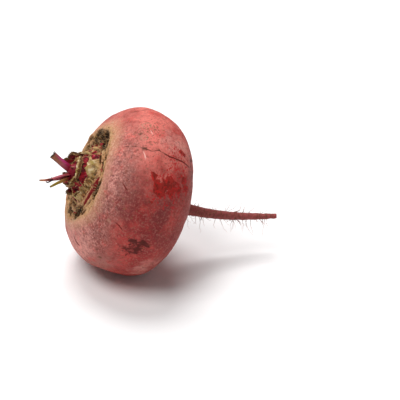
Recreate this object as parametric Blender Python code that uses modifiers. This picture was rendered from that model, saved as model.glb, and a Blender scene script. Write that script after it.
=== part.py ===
"""A whole striped beetroot as it is sold loose: a flattened, swollen root with its thin tail, and at
the crown the cut bases of the old leaf stalks round a tuft of young ones that was trimmed short.

Everything is modelled in the growth frame, in which the crown points up along +Z and the tail down,
with the widest section near z = 0. An empty then lays the beetroot on its side, crown towards -X and
a little up, tail towards +X, resting on a small flat spot on the floor z = 0. Metres throughout.
"""

import math
import random

import bmesh
import bpy
from mathutils import Euler, Matrix, Vector

MM = 0.001
GOLDEN_ANGLE = math.radians(137.508)

# Driving dimensions of the swollen root.
ROOT_RADIUS = 37.7 * MM
CROWN_RISE = 18.3 * MM  # from the widest section up to the crown's disc
CROWN_DISC_RADIUS = 16.0 * MM
SHOULDER_POWER = 1.85
ROOT_DEPTH = 26.9 * MM  # from the widest section down to the root end
ROOT_POWER = 3.6
LOW_SIDE_FULLNESS = 1.3  # added to the power on the side it lies on, taken off on the other
EQUATOR_SLANT = -0.025  # rise of the widest section along +X

# How it lies.
CROWN_TILT = math.radians(25.0)  # of the growth axis above the floor
FLAT_DEPTH = 1.0 * MM  # pressed off the lowest point, which leaves the flat spot

# The crown's low cone, on which the leaf bases stand, and the ring of scars round it.
SEAT_RADIUS = 12.0 * MM
SEAT_TOP_RADIUS = 3.5 * MM
SEAT_RISE = 4.6 * MM
HEART_SEAT = 0.9 * MM  # thickness of the leaf bases' core under the heart
MOAT_RADIUS = 17.0 * MM
MOAT_WIDTH = 3.4 * MM
MOAT_DEPTH = 1.1 * MM
COLLAR_RADIUS = 23.6 * MM  # the corky ridge that rims the crown
COLLAR_WIDTH = 1.9 * MM
COLLAR_RISE = 0.8 * MM
COLLAR_HIGH_SIDE = math.radians(-75.0)  # where the ridge stands highest; it fades opposite
FIT_GAP = 0.3 * MM

# The tail, from where it swells into the root end to where it was cut.
TAIL_FLARE_RADIUS = 7.2 * MM
TAIL_FLARE_LENGTH = 9.0 * MM
TAIL_RADIUS = 2.7 * MM
TAIL_TIP_RADIUS = 1.1 * MM
TAIL_LENGTH = 50.0 * MM
TAIL_START = -ROOT_DEPTH + 1.2 * MM  # a little inside the root end

# Resolution of the turned root.
ROOT_STEPS = 72
CAP_STEPS = 36

SKIN_RED = (0.42, 0.095, 0.095, 1.0)
CORK_TAN = (0.34, 0.19, 0.10, 1.0)
STALK_PURPLE = (0.30, 0.02, 0.09, 1.0)


def smooth_step(low, high, value):
    """0 at low, 1 at high, and a smooth rise between them."""
    t = min(max((value - low) / (high - low), 0.0), 1.0)
    return t * t * (3.0 - 2.0 * t)


def material(name, colour, roughness):
    made = bpy.data.materials.new(name)
    made.use_nodes = True
    shader = made.node_tree.nodes["Principled BSDF"]
    shader.inputs["Base Color"].default_value = colour
    shader.inputs["Roughness"].default_value = roughness
    shader.inputs["Metallic"].default_value = 0.0
    return made


def clear_scene():
    for old in list(bpy.data.objects):
        bpy.data.objects.remove(old)


def collection(name):
    made = bpy.data.collections.new(name)
    bpy.context.scene.collection.children.link(made)
    return made


def mesh_object(name, mesh, into):
    made = bpy.data.objects.new(name, mesh)
    into.objects.link(made)
    return made


def evaluated_mesh(obj):
    """The object's mesh with its modifiers applied, or a curve's mesh, with loose caps welded."""
    graph = bpy.context.evaluated_depsgraph_get()
    mesh = bpy.data.meshes.new_from_object(obj.evaluated_get(graph))
    shape = bmesh.new()
    shape.from_mesh(mesh)
    bmesh.ops.remove_doubles(shape, verts=shape.verts, dist=1e-6)
    bmesh.ops.recalc_face_normals(shape, faces=shape.faces)
    shape.to_mesh(mesh)
    shape.free()
    return mesh


def as_mesh_object(obj, into):
    """Replaces a curve, or an object with modifiers, by its plain mesh in the same place."""
    name = obj.name
    mesh = evaluated_mesh(obj)
    place = obj.matrix_world.copy()
    bpy.data.objects.remove(obj)
    made = mesh_object(name, mesh, into)
    made.matrix_world = place
    return made


def turned(name, profile, steps, into):
    """A profile of (radius, height) points from top to bottom, turned about Z into a closed solid."""
    mesh = bpy.data.meshes.new(name)
    edges = [(i, i + 1) for i in range(len(profile) - 1)]
    mesh.from_pydata([(r, 0.0, z) for r, z in profile], edges, [])
    obj = mesh_object(name, mesh, into)
    screw = obj.modifiers.new("turn", "SCREW")
    screw.steps = steps
    screw.render_steps = steps
    screw.use_merge_vertices = True
    screw.merge_threshold = 1e-5
    return as_mesh_object(obj, into)


def union(target, pieces_collection):
    """Joins every object of the collection to the target and removes them."""
    join = target.modifiers.new("join", "BOOLEAN")
    join.operation = "UNION"
    join.operand_type = "COLLECTION"
    join.collection = pieces_collection
    join.solver = "EXACT"
    mesh = evaluated_mesh(target)
    target.modifiers.remove(join)
    target.data = mesh
    for piece in list(pieces_collection.objects):
        bpy.data.objects.remove(piece)
    bpy.data.collections.remove(pieces_collection)


def seat_height(radius):
    """The crown's smooth low cone, on which the leaf bases stand."""
    fall = (radius - SEAT_TOP_RADIUS) / (SEAT_RADIUS - SEAT_TOP_RADIUS)
    return CROWN_RISE + SEAT_RISE * (1.0 - min(max(fall, 0.0), 1.0))


def crown_profile():
    """From the middle of the crown out to where the shoulder starts."""
    points = [(0.0, seat_height(0.0)), (SEAT_TOP_RADIUS, seat_height(SEAT_TOP_RADIUS))]
    radius = SEAT_TOP_RADIUS
    while radius < CROWN_DISC_RADIUS - 0.5 * MM:
        radius += 1.7 * MM if radius < SEAT_RADIUS - 1.7 * MM else 0.9 * MM
        points.append((radius, seat_height(radius)))
    return points


def shoulder_profile():
    """A superellipse from the disc's edge down to the widest section, closest where the scars are."""
    points = []
    count = 20
    for i in range(1, count + 1):
        angle = 0.5 * math.pi * (i / count) ** 1.25
        reach = math.sin(angle) ** (2.0 / SHOULDER_POWER)
        rise = max(math.cos(angle), 0.0) ** (2.0 / SHOULDER_POWER)
        radius = CROWN_DISC_RADIUS + (ROOT_RADIUS - CROWN_DISC_RADIUS) * reach
        points.append((radius, CROWN_RISE * rise))
    return points


def root_end_profile():
    """A superellipse from the widest section down to the middle of the root end."""
    points = []
    count = 18
    for i in range(1, count + 1):
        angle = 0.5 * math.pi * i / count
        reach = max(math.cos(angle), 0.0) ** (2.0 / ROOT_POWER)
        drop = ROOT_DEPTH * math.sin(angle) ** (2.0 / ROOT_POWER)
        points.append((ROOT_RADIUS * reach if i < count else 0.0, -drop))
    return points


def side_fullness(point):
    """The root end is fuller on the side that the beetroot lies on, which is its -X side."""
    radius = math.hypot(point.x, point.y)
    if point.z >= 0.0 or radius < 1e-6:
        return point
    low_side = -point.x / radius
    angle = math.acos(min((radius / ROOT_RADIUS) ** (0.5 * ROOT_POWER), 1.0))
    power = ROOT_POWER + LOW_SIDE_FULLNESS * low_side
    factor = ROOT_RADIUS * max(math.cos(angle), 0.0) ** (2.0 / power) / radius
    drop = ROOT_DEPTH * math.sin(angle) ** (2.0 / power)
    return Vector((point.x * factor, point.y * factor, -drop))


def lobes(angle, height):
    """Slow swellings round the root, as a share of its radius: no grown root is truly round."""
    swell = 0.010 * math.cos(2.0 * angle + 0.7)
    swell += 0.007 * math.cos(3.0 * angle - 1.9 + 20.0 * height)
    swell += 0.004 * math.cos(5.0 * angle + 0.4)
    return swell


def furrows(angle, height):
    """The two shallow furrows down the root, from which the side rootlets grow."""
    depth = 0.0
    for middle in (math.radians(100.0), math.radians(-80.0)):
        away = math.remainder(angle - middle, math.tau)
        depth += math.exp(-((away / 0.16) ** 2))
    low = smooth_step(4.0 * MM, -18.0 * MM, height)
    return 0.9 * MM * depth * low


# The leaf scars that show best: angle in degrees, then radius, half width along the ring, half depth
# across it, height of the outer lip and depth of the pit in millimetres.
SHOWN_SCARS = {
    "top_patch": (0.0, 19.0, 3.4, 3.6, 0.5, 1.4),
    "top_inner": (28.0, 14.6, 3.6, 1.1, 1.0, 0.9),
    "top_inner_aside": (-18.0, 14.6, 2.8, 1.0, 0.9, 0.8),
    "long_slit": (-94.0, 16.2, 6.2, 1.0, 1.1, 1.4),
    "outer_pit": (-80.0, 20.0, 2.4, 1.9, 0.6, 1.5),
    "low_patch": (-146.0, 17.4, 3.6, 2.6, 0.7, 1.5),
    "side_scar": (-48.0, 18.2, 2.6, 1.2, 0.5, 0.8),
}


def leaf_scars():
    """The scars that show, then the rest of the ring at the golden angle, the oldest furthest out."""
    names = ("angle", "radius", "half_width", "half_depth", "lip", "pit")
    scars = []
    for values in SHOWN_SCARS.values():
        scar = dict(zip(names, values))
        scar["angle"] = math.radians(scar["angle"])
        scars.append(scar)
    draw = random.Random(11)
    shown_side = (math.radians(-170.0), math.radians(45.0))
    for number in range(26):
        share = number / 25
        angle = math.remainder(number * GOLDEN_ANGLE, math.tau)
        scar = {
            "angle": angle,
            "radius": 14.2 + 7.0 * share,
            "half_width": draw.uniform(2.6, 3.6),
            "half_depth": draw.uniform(1.0, 1.5),
            "lip": draw.uniform(0.6, 1.1) * (1.0 - 0.35 * share),
            "pit": draw.uniform(0.8, 1.4),
        }
        if not shown_side[0] < angle < shown_side[1]:
            scars.append(scar)
    return scars


def scar_relief(radius, angle, scars):
    """Each scar is a crescent: a pit with a raised lip on its outer side. Metres in and out."""
    rise = 0.0
    for scar in scars:
        along = math.remainder(angle - scar["angle"], math.tau) * radius / MM
        across = math.exp(-((along / scar["half_width"]) ** 4))
        bow = 0.8 * (along / scar["half_width"]) ** 2
        out = radius / MM - scar["radius"] + bow
        lip_at = scar["half_depth"] + 0.5
        rise += scar["lip"] * across * math.exp(-(((out - lip_at) / 0.8) ** 2))
        rise -= scar["pit"] * across * math.exp(-((out / scar["half_depth"]) ** 4))
    return rise * MM


def crown_relief(point, scars):
    """The hollow ring round the cone, the scars in it, and nothing under the leaf bases' seat."""
    if point.z < 8.0 * MM:
        return 0.0
    radius = math.hypot(point.x, point.y)
    angle = math.atan2(point.y, point.x)
    outside_seat = smooth_step(SEAT_RADIUS + 0.2 * MM, SEAT_RADIUS + 1.4 * MM, radius)
    moat = MOAT_DEPTH * math.exp(-(((radius - MOAT_RADIUS) / MOAT_WIDTH) ** 2))
    wander = COLLAR_RADIUS + 0.9 * MM * math.sin(3.0 * angle + 0.5)
    fullness = 0.5 + 0.5 * math.cos(angle - COLLAR_HIGH_SIDE)
    collar = COLLAR_RISE * fullness * math.exp(-(((radius - wander) / COLLAR_WIDTH) ** 2))
    return (scar_relief(radius, angle, scars) - moat + collar) * outside_seat


def shape_root(point, scars):
    """Carries a point of the turned root to its place on the grown one."""
    point = side_fullness(point)
    radius = math.hypot(point.x, point.y)
    if radius < 1e-6:
        return point
    angle = math.atan2(point.y, point.x)
    body = smooth_step(SEAT_RADIUS, 0.75 * ROOT_RADIUS, radius)
    widening = radius * lobes(angle, point.z) * body - furrows(angle, point.z) * body
    factor = 1.0 + widening / radius
    upper = min(max(point.z / CROWN_RISE, 0.0), 1.0)
    slant = EQUATOR_SLANT * point.x * (1.0 - upper**2) * body
    lift = crown_relief(point, scars) + slant
    return Vector((point.x * factor, point.y * factor, point.z + lift))


def tapering_curve(name, points, radii, into, resolution=2):
    """A round curve through hand-placed points, with its own radius at each, and filled ends."""
    curve = bpy.data.curves.new(name, "CURVE")
    curve.dimensions = "3D"
    curve.bevel_depth = 1.0
    curve.bevel_resolution = resolution
    curve.use_fill_caps = True
    curve.resolution_u = 2
    spline = curve.splines.new("BEZIER")
    spline.bezier_points.add(len(points) - 1)
    for knot, point, radius in zip(spline.bezier_points, points, radii):
        knot.co = point
        knot.radius = radius
        knot.handle_left_type = "AUTO"
        knot.handle_right_type = "AUTO"
    obj = bpy.data.objects.new(name, curve)
    into.objects.link(obj)
    bpy.context.view_layer.update()
    return as_mesh_object(obj, into)


def tail_centre(share):
    """The tail's centreline: it leaves the root end straight and then swings up and aside."""
    down = TAIL_START - TAIL_LENGTH * share
    swing = 11.0 * MM * share**2.2
    aside = 3.0 * MM * math.sin(2.8 * share) * share
    return Vector((swing, aside, down))


def tail_radius(share):
    """Wide where it swells out of the root end, then a slow taper to the cut tip."""
    taper = TAIL_TIP_RADIUS + (TAIL_RADIUS - TAIL_TIP_RADIUS) * (1.0 - share) ** 0.8
    flare = max(1.0 - share * TAIL_LENGTH / TAIL_FLARE_LENGTH, 0.0)
    return taper + (TAIL_FLARE_RADIUS - TAIL_RADIUS) * flare**2.2


def add_tail(into):
    shares = [0.0, 0.03, 0.06, 0.10, 0.15, 0.22, 0.32, 0.44, 0.58, 0.72, 0.86, 1.0]
    points = [tail_centre(share) for share in shares]
    radii = [tail_radius(share) for share in shares]
    tapering_curve("tail", points, radii, into, resolution=3)


def add_side_rootlets(into):
    """Thin rootlets that leave the tail along its length, with their roots sunk to its middle."""
    draw = random.Random(5)
    for number in range(7):
        share = 0.16 + 0.105 * number
        foot = tail_centre(share)
        turn = number * GOLDEN_ANGLE
        out = Vector((math.cos(turn), math.sin(turn), 0.0))
        length = draw.uniform(5.0, 9.0) * MM * (1.0 - 0.35 * share)
        reach = tail_radius(share) + length
        bend = draw.uniform(0.35, 0.8)
        points = [
            foot,
            foot + out * 0.55 * reach + Vector((0.0, 0.0, -0.20 * reach)),
            foot + out * reach + Vector((0.0, 0.0, -bend * reach)),
        ]
        radii = [0.75 * MM, 0.6 * MM, 0.4 * MM]
        tapering_curve(f"rootlet_{number}", points, radii, into, resolution=1)


def make_root(part, skin):
    """The swollen root, its crown with the scars, the tail and the side rootlets, as one solid."""
    profile = crown_profile() + shoulder_profile() + root_end_profile()
    root = turned("root", profile, ROOT_STEPS, part)
    scars = leaf_scars()
    for vertex in root.data.vertices:
        vertex.co = shape_root(vertex.co, scars)
    growths = collection("growths")
    add_tail(growths)
    add_side_rootlets(growths)
    union(root, growths)
    root.data.materials.clear()
    root.data.materials.append(skin)
    return root


# The cut leaf bases that show best: angle in degrees, then radius, half width along the ring, height,
# thickness in millimetres, and how far they lean out for each millimetre of height.
SHOWN_LEAF_BASES = {
    "inner_lip": (-38.0, 6.0, 5.6, 3.2, 1.7, 0.10),
    "far_tall": (72.0, 7.4, 3.4, 7.0, 1.3, 0.12),
    "far_low": (28.0, 9.6, 3.0, 3.0, 1.4, 0.30),
    "pale_knob": (-44.0, 9.7, 2.7, 2.2, 2.6, 0.20),
    "near_low": (-96.0, 8.8, 3.0, 2.6, 1.6, 0.30),
    "low_cluster": (-136.0, 7.8, 3.6, 3.4, 1.8, 0.25),
    "left_edge": (-176.0, 8.2, 3.2, 3.4, 1.3, 0.35),
    "left_back": (146.0, 7.4, 3.2, 3.8, 1.3, 0.30),
}
HIDDEN_LEAF_BASES = 6


def leaf_base(name, place, into, draw):
    """One cut leaf base: a plate that curves round the crown and leans out, its cut edge ragged.

    It is a loft between unlike sections, so its faces are built here.
    """
    angle_degrees, radius, half_width, height, thickness, lean = place
    steps = 7
    shape = bmesh.new()
    rings = []
    for i in range(steps + 1):
        along = 2.0 * i / steps - 1.0
        turn = math.radians(angle_degrees) + along * half_width / radius
        end = 1.0 - along**4
        tall = height * (0.35 + 0.65 * end) * draw.uniform(0.86, 1.08) * MM
        thick = thickness * (0.45 + 0.55 * end) * MM
        out = Vector((math.cos(turn), math.sin(turn), 0.0))
        foot = seat_height(radius * MM) + FIT_GAP + 0.8 * MM
        middle = radius * MM
        low_out = out * (middle + 0.5 * thick) + Vector((0.0, 0.0, foot))
        low_in = out * (middle - 0.5 * thick) + Vector((0.0, 0.0, foot + 0.25 * MM))
        top = foot + tall
        high_out = out * (middle + lean * tall + 0.42 * thick) + Vector((0.0, 0.0, top))
        high_in = out * (middle + lean * tall - 0.42 * thick) + Vector((0.0, 0.0, top))
        rings.append([shape.verts.new(p) for p in (low_out, high_out, high_in, low_in)])
    for here, there in zip(rings, rings[1:]):
        for k in range(4):
            nxt = (k + 1) % 4
            shape.faces.new((here[k], there[k], there[nxt], here[nxt]))
    shape.faces.new(rings[0])
    shape.faces.new(rings[-1][::-1])
    bmesh.ops.recalc_face_normals(shape, faces=shape.faces)
    mesh = bpy.data.meshes.new(name)
    shape.to_mesh(mesh)
    shape.free()
    mesh_object(name, mesh, into)


def leaf_cap_profile():
    """The low core of the leaf bases: a ring-shaped cushion whose underside clears the crown's cone."""
    gap = FIT_GAP
    rim = SEAT_RADIUS - 0.5 * MM
    top = seat_height(0.0)
    return [
        (0.0, top + HEART_SEAT),
        (3.9 * MM, top + HEART_SEAT),
        (4.6 * MM, top + 1.8 * MM),
        (5.8 * MM, top + 1.9 * MM),
        (7.4 * MM, top + 1.0 * MM),
        (10.0 * MM, seat_height(10.0 * MM) + 1.5 * MM),
        (rim, seat_height(rim) + 0.9 * MM),
        (rim + 0.1 * MM, seat_height(rim) + gap + 0.3 * MM),
        (rim, seat_height(rim) + gap),
        (7.5 * MM, seat_height(7.5 * MM) + gap),
        (SEAT_TOP_RADIUS, top + gap),
        (0.0, top + gap),
    ]


def leaf_base_places():
    """The shown bases, then smaller ones on the far side at the golden angle."""
    places = list(SHOWN_LEAF_BASES.values())
    for number in range(HIDDEN_LEAF_BASES):
        share = number / (HIDDEN_LEAF_BASES - 1)
        angle = 48.0 + (number * 137.508) % 130.0
        places.append((angle, 8.6 + 1.9 * share, 2.4, 2.6 - 1.1 * share, 1.3, 0.4))
    return places


def make_leaf_bases(part, cork):
    """The cut bases of the old leaf stalks: crescents round the heart, on a common low core."""
    cap = turned("leaf_bases", leaf_cap_profile(), CAP_STEPS, part)
    crescents = collection("crescents")
    draw = random.Random(23)
    for number, place in enumerate(leaf_base_places()):
        leaf_base(f"crescent_{number}", place, crescents, draw)
    union(cap, crescents)
    cap.data.materials.clear()
    cap.data.materials.append(cork)
    return cap


def stalk_section(name, into):
    """A young leaf stalk cut across: half round underneath and hollowed along the top."""
    curve = bpy.data.curves.new(name, "CURVE")
    curve.dimensions = "2D"
    spline = curve.splines.new("POLY")
    corners = []
    for i in range(7):
        turn = math.pi + math.pi * i / 6
        corners.append((math.cos(turn), 0.85 * math.sin(turn)))
    corners += [(0.62, 0.16), (0.0, -0.22), (-0.62, 0.16)]
    spline.points.add(len(corners) - 1)
    for knot, (x, y) in zip(spline.points, corners):
        knot.co = (x, y, 0.0, 1.0)
    spline.use_cyclic_u = True
    obj = bpy.data.objects.new(name, curve)
    into.objects.link(obj)
    return obj


def channelled_stalk(name, points, radii, section, into):
    """A stalk through hand-placed points with the channelled section, and filled ends."""
    curve = bpy.data.curves.new(name, "CURVE")
    curve.dimensions = "3D"
    curve.bevel_mode = "OBJECT"
    curve.bevel_object = section
    curve.use_fill_caps = True
    curve.resolution_u = 4
    spline = curve.splines.new("BEZIER")
    spline.bezier_points.add(len(points) - 1)
    for knot, point, radius in zip(spline.bezier_points, points, radii):
        knot.co = Vector(point) * MM
        knot.radius = radius * MM
        knot.handle_left_type = "AUTO"
        knot.handle_right_type = "AUTO"
    obj = bpy.data.objects.new(name, curve)
    into.objects.link(obj)
    bpy.context.view_layer.update()
    as_mesh_object(obj, into)


# The young stalks' own points, in millimetres in the growth frame, from the heart outwards.
HEART_STALKS = {
    "upper_stalk": {
        "points": [(0.2, 0.3, 24.6), (0.8, 0.8, 28.0), (1.9, 1.7, 32.0), (3.1, 2.6, 35.8)],
        "radii": [2.0, 1.7, 1.5, 1.6],
    },
    "middle_stalk": {
        "points": [(-1.1, -0.9, 24.6), (-2.7, -1.4, 27.8), (-4.8, -1.8, 30.6), (-6.9, -2.2, 33.2)],
        "radii": [1.5, 1.4, 1.2, 0.8],
    },
    "withered_tip": {
        "points": [(-6.4, -2.1, 32.6), (-7.8, -1.8, 35.0), (-8.9, -1.5, 37.5)],
        "radii": [0.7, 0.6, 0.5],
    },
    "lower_stalk": {
        "points": [(-1.2, -1.2, 25.0), (-3.6, -1.9, 27.6), (-6.9, -2.5, 30.0), (-10.0, -2.6, 32.0)],
        "radii": [1.2, 0.9, 0.75, 0.65],
    },
}


def make_heart_stalks(part, purple):
    """The trimmed tuft of young leaf stalks, joined at the heart by their common foot."""
    floor = seat_height(0.0) + HEART_SEAT + FIT_GAP
    foot_profile = [
        (0.0, floor + 3.0 * MM),
        (1.6 * MM, floor + 2.7 * MM),
        (2.7 * MM, floor + 1.7 * MM),
        (3.4 * MM, floor + 0.6 * MM),
        (3.3 * MM, floor),
        (0.0, floor),
    ]
    foot = turned("heart_stalks", foot_profile, 16, part)
    stalks = collection("stalks")
    helpers = collection("stalk_helpers")
    section = stalk_section("stalk_section", helpers)
    for name, stalk in HEART_STALKS.items():
        channelled_stalk(name, stalk["points"], stalk["radii"], section, stalks)
    bpy.data.objects.remove(section)
    bpy.data.collections.remove(helpers)
    union(foot, stalks)
    foot.data.materials.clear()
    foot.data.materials.append(purple)
    return foot


def world_corners(objects):
    """Lowest and highest corner of the objects' own vertices, in the world."""
    points = [o.matrix_world @ v.co for o in objects for v in o.data.vertices]
    low = Vector([min(p[k] for p in points) for k in range(3)])
    high = Vector([max(p[k] for p in points) for k in range(3)])
    return low, high


def lay_down(pieces):
    """Lays the pieces on their side and centres them over the origin, the flat spot just under 0."""
    axis = bpy.data.objects.new("growth_axis", None)
    bpy.context.scene.collection.objects.link(axis)
    axis.rotation_euler = Euler((0.0, CROWN_TILT - 0.5 * math.pi, 0.0))
    for piece in pieces:
        piece.parent = axis
    bpy.context.view_layer.update()
    low, high = world_corners(pieces)
    axis.location = Vector((-0.5 * (low.x + high.x), -0.5 * (low.y + high.y), -low.z - FLAT_DEPTH))
    bpy.context.view_layer.update()
    return axis


def press_flat_spot(root):
    """Cuts the root level at the floor, where its own weight rests."""
    cutters = collection("cutters")
    bpy.ops.mesh.primitive_cube_add(size=1.0, location=(0.0, 0.0, -0.01))
    cutter = bpy.context.object
    cutter.name = "floor_cutter"
    cutter.data.transform(Matrix.Diagonal((0.2, 0.2, 0.02, 1.0)))
    cutter.hide_render = True
    cutter.display_type = "WIRE"
    for home in list(cutter.users_collection):
        home.objects.unlink(cutter)
    cutters.objects.link(cutter)
    cut = root.modifiers.new("flat_spot", "BOOLEAN")
    cut.operation = "DIFFERENCE"
    cut.object = cutter
    cut.solver = "EXACT"


def main():
    clear_scene()
    part = collection("beetroot")
    root = make_root(part, material("skin", SKIN_RED, 0.75))
    leaf_bases = make_leaf_bases(part, material("cork", CORK_TAN, 0.9))
    heart_stalks = make_heart_stalks(part, material("stalk", STALK_PURPLE, 0.45))
    lay_down([root, leaf_bases, heart_stalks])
    press_flat_spot(root)
    for piece in (root, leaf_bases, heart_stalks):
        piece.data.shade_smooth()
        piece.data.set_sharp_from_angle(angle=math.radians(40.0))


main()
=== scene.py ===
# %% [markdown]
# # A whole beetroot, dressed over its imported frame
#
# A beetroot is a swollen root: a dull, finely speckled skin, a corky crown scarred by the leaves that
# it has lost, and a thin tail with hair-like rootlets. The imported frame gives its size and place; this
# script gives its looks. Each step first says what the real thing is, how it could be made, and why
# it is made the way it is.

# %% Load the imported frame
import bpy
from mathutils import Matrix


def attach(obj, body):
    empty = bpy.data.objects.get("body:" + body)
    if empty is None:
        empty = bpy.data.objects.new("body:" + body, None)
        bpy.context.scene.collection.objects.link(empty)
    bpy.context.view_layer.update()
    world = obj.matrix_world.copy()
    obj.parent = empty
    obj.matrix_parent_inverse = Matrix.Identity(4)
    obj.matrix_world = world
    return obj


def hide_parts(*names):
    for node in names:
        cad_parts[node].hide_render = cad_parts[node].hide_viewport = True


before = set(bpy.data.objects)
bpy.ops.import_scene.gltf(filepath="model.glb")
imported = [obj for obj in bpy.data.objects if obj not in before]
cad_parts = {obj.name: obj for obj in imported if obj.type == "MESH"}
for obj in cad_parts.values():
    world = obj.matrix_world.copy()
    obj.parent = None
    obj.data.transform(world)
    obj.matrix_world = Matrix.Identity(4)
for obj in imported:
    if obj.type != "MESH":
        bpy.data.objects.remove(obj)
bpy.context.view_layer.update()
print("frame nodes:", sorted(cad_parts))

# %% [markdown]
# ## The growth frame
#
# The beetroot lies on its side, so its own axis slants through the frame. It is far easier to shape it
# upright: crown up along +Z, tail down, in millimetres. One function then lays the points down where
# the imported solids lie. The tilt and the place of the widest section's middle are the same as theirs.

# %% Units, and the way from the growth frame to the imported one
import math
import random

import bmesh
import bpy
import numpy as np
from mathutils import Matrix, Vector, noise

MM = 0.001
CROWN_TILT = math.radians(25.0)
GROWTH_ORIGIN = np.array((-17.78, 0.31, 39.72))
LAY_DOWN = np.array((
    (math.sin(CROWN_TILT), 0.0, -math.cos(CROWN_TILT)),
    (0.0, 1.0, 0.0),
    (math.cos(CROWN_TILT), 0.0, math.sin(CROWN_TILT)),
))
GOLDEN_ANGLE = math.radians(137.508)


def laid_down(points):
    """Growth-frame points in millimetres become packed-frame points in metres."""
    return (np.asarray(points, float) @ LAY_DOWN.T + GROWTH_ORIGIN) * MM


print("crown centre lies at", laid_down((0.0, 0.0, 18.3)).round(4))

# %% [markdown]
# ## Small helpers
#
# Colours are written as the hex values that an eye-dropper gives on screen, and one function turns
# them to the linear values that Blender mixes. One more function adds a node with its settings and
# links, for shaders and for Geometry Nodes alike.

# %% Colours, smooth steps, nodes and objects


def linear(hex_colour):
    """An sRGB hex colour as linear red, green, blue and a full alpha."""
    screen = [int(hex_colour[i : i + 2], 16) / 255 for i in (1, 3, 5)]
    light = [c / 12.92 if c <= 0.04045 else ((c + 0.055) / 1.055) ** 2.4 for c in screen]
    return (*light, 1.0)


def smooth_step(low, high, value):
    """0 at low, 1 at high, and a smooth rise between them, for numbers and arrays."""
    t = np.clip((value - low) / (high - low), 0.0, 1.0)
    return t * t * (3.0 - 2.0 * t)


def add(tree, kind, inputs=None, **settings):
    """Adds a node. Inputs maps a socket's name or number to a value or to another socket."""
    made = tree.nodes.new(kind)
    for name, value in settings.items():
        setattr(made, name, value)
    for name, value in (inputs or {}).items():
        if isinstance(value, bpy.types.NodeSocket):
            tree.links.new(value, made.inputs[name])
        else:
            made.inputs[name].default_value = value
    return made


def new_object(name, data):
    """An object in the scene that holds the given mesh, light or camera."""
    made = bpy.data.objects.new(name, data)
    bpy.context.scene.collection.objects.link(made)
    return made


def wrap(angle):
    """An angle, or an array of them, brought between minus and plus half a turn."""
    return (angle + math.pi) % math.tau - math.pi


def grain(points, size, octaves=2, shift=0.0):
    """A fractal noise from about -1 to 1 at each point, with features of the given size."""
    scaled = np.asarray(points, float) / size + shift
    return np.array([noise.fractal(Vector(p), 0.6, 2.1, octaves) for p in scaled])


print("a smooth step half way up:", smooth_step(0.0, 2.0, 1.0))

# %% Meshes from rings of points


def close_rings(rings, start=None, end=None):
    """Joins rings of points, which may halve or double their count, and closes both ends.

    An end with a pole gets a fan of triangles, and one without gets a flat face.
    """
    points = []
    firsts = []
    for ring in rings:
        firsts.append(len(points))
        points.extend(ring)
    faces = []
    for (a, upper), (b, lower) in zip(zip(firsts, rings), zip(firsts[1:], rings[1:])):
        n, m = len(upper), len(lower)
        if n == m:
            for i in range(n):
                j = (i + 1) % n
                faces.append((a + i, b + i, b + j, a + j))
        elif n == 2 * m:
            for i in range(m):
                j = (i + 1) % m
                left, mid, right = a + 2 * i, a + 2 * i + 1, a + (2 * i + 2) % n
                faces += [(left, b + i, mid), (mid, b + i, b + j), (mid, b + j, right)]
        else:
            for i in range(n):
                j = (i + 1) % n
                left, mid, right = b + 2 * i, b + 2 * i + 1, b + (2 * i + 2) % m
                faces += [(a + i, left, mid), (a + i, mid, a + j), (a + j, mid, right)]
    first_end = (start, firsts[0], rings[0], True)
    last_end = (end, firsts[-1], rings[-1], False)
    for pole, first, ring, turned in (first_end, last_end):
        if pole is None:
            faces.append(tuple(range(first, first + len(ring)))[:: 1 if turned else -1])
            continue
        points.append(pole)
        for i in range(len(ring)):
            j = (i + 1) % len(ring)
            fan = (len(points) - 1, first + i, first + j)
            faces.append(fan if turned else fan[::-1])
    return np.array(points), faces


def joined(lofts):
    """Joins closed lofts, each with its points, its faces and what shows at each of its points."""
    points, faces, where = [], [], []
    for (made, made_faces), shares in lofts:
        faces += [tuple(len(points) + i for i in face) for face in made_faces]
        points.extend(made)
        where += shares
    return np.array(points), faces, np.array(where)


def three_grains(points, size, shifts):
    """A noise for each axis, as an offset for each point."""
    return np.column_stack([grain(points, size, 2, shift) for shift in shifts])


def store(mesh, values_by_name):
    """Stores named values at a mesh's points, for materials and Geometry Nodes to read."""
    for title, values in values_by_name.items():
        layer = mesh.attributes.new(title, "FLOAT", "POINT")
        layer.data.foreach_set("value", np.asarray(values, np.float32))


def make_mesh(name, points, faces, attributes=None):
    """A smooth mesh object at the origin, with named values at its points."""
    mesh = bpy.data.meshes.new(name)
    mesh.from_pydata(np.asarray(points).tolist(), [], faces)
    mesh.shade_smooth()
    store(mesh, attributes or {})
    return new_object(name, mesh)


def outward(obj):
    """Turns every face of a closed mesh to point out."""
    shape = bmesh.new()
    shape.from_mesh(obj.data)
    bmesh.ops.recalc_face_normals(shape, faces=shape.faces)
    shape.to_mesh(obj.data)
    shape.free()


def point_normals(obj):
    """The normal at each point of a mesh, as an array."""
    normals = np.zeros(len(obj.data.vertices) * 3, np.float32)
    obj.data.vertices.foreach_get("normal", normals)
    return normals.reshape(-1, 3).astype(float)


def write_points(obj, points):
    """Moves each point of a mesh to its new place."""
    obj.data.vertices.foreach_set("co", np.asarray(points, np.float32).ravel())
    obj.data.update()


print("helpers for meshes are ready")

# %% [markdown]
# ## The studio
#
# The photograph was taken on a white sweep with large soft lights: the brightest skin is at the top
# and left, and the shadow is a soft grey pool under the root. The camera stands 27 degrees above the
# floor and 10 degrees round towards the crown, 0.8 m away with a long lens. It is turned a little so
# that the beetroot falls where the photograph has it, in the left of the frame, with no lens shift.

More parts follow.
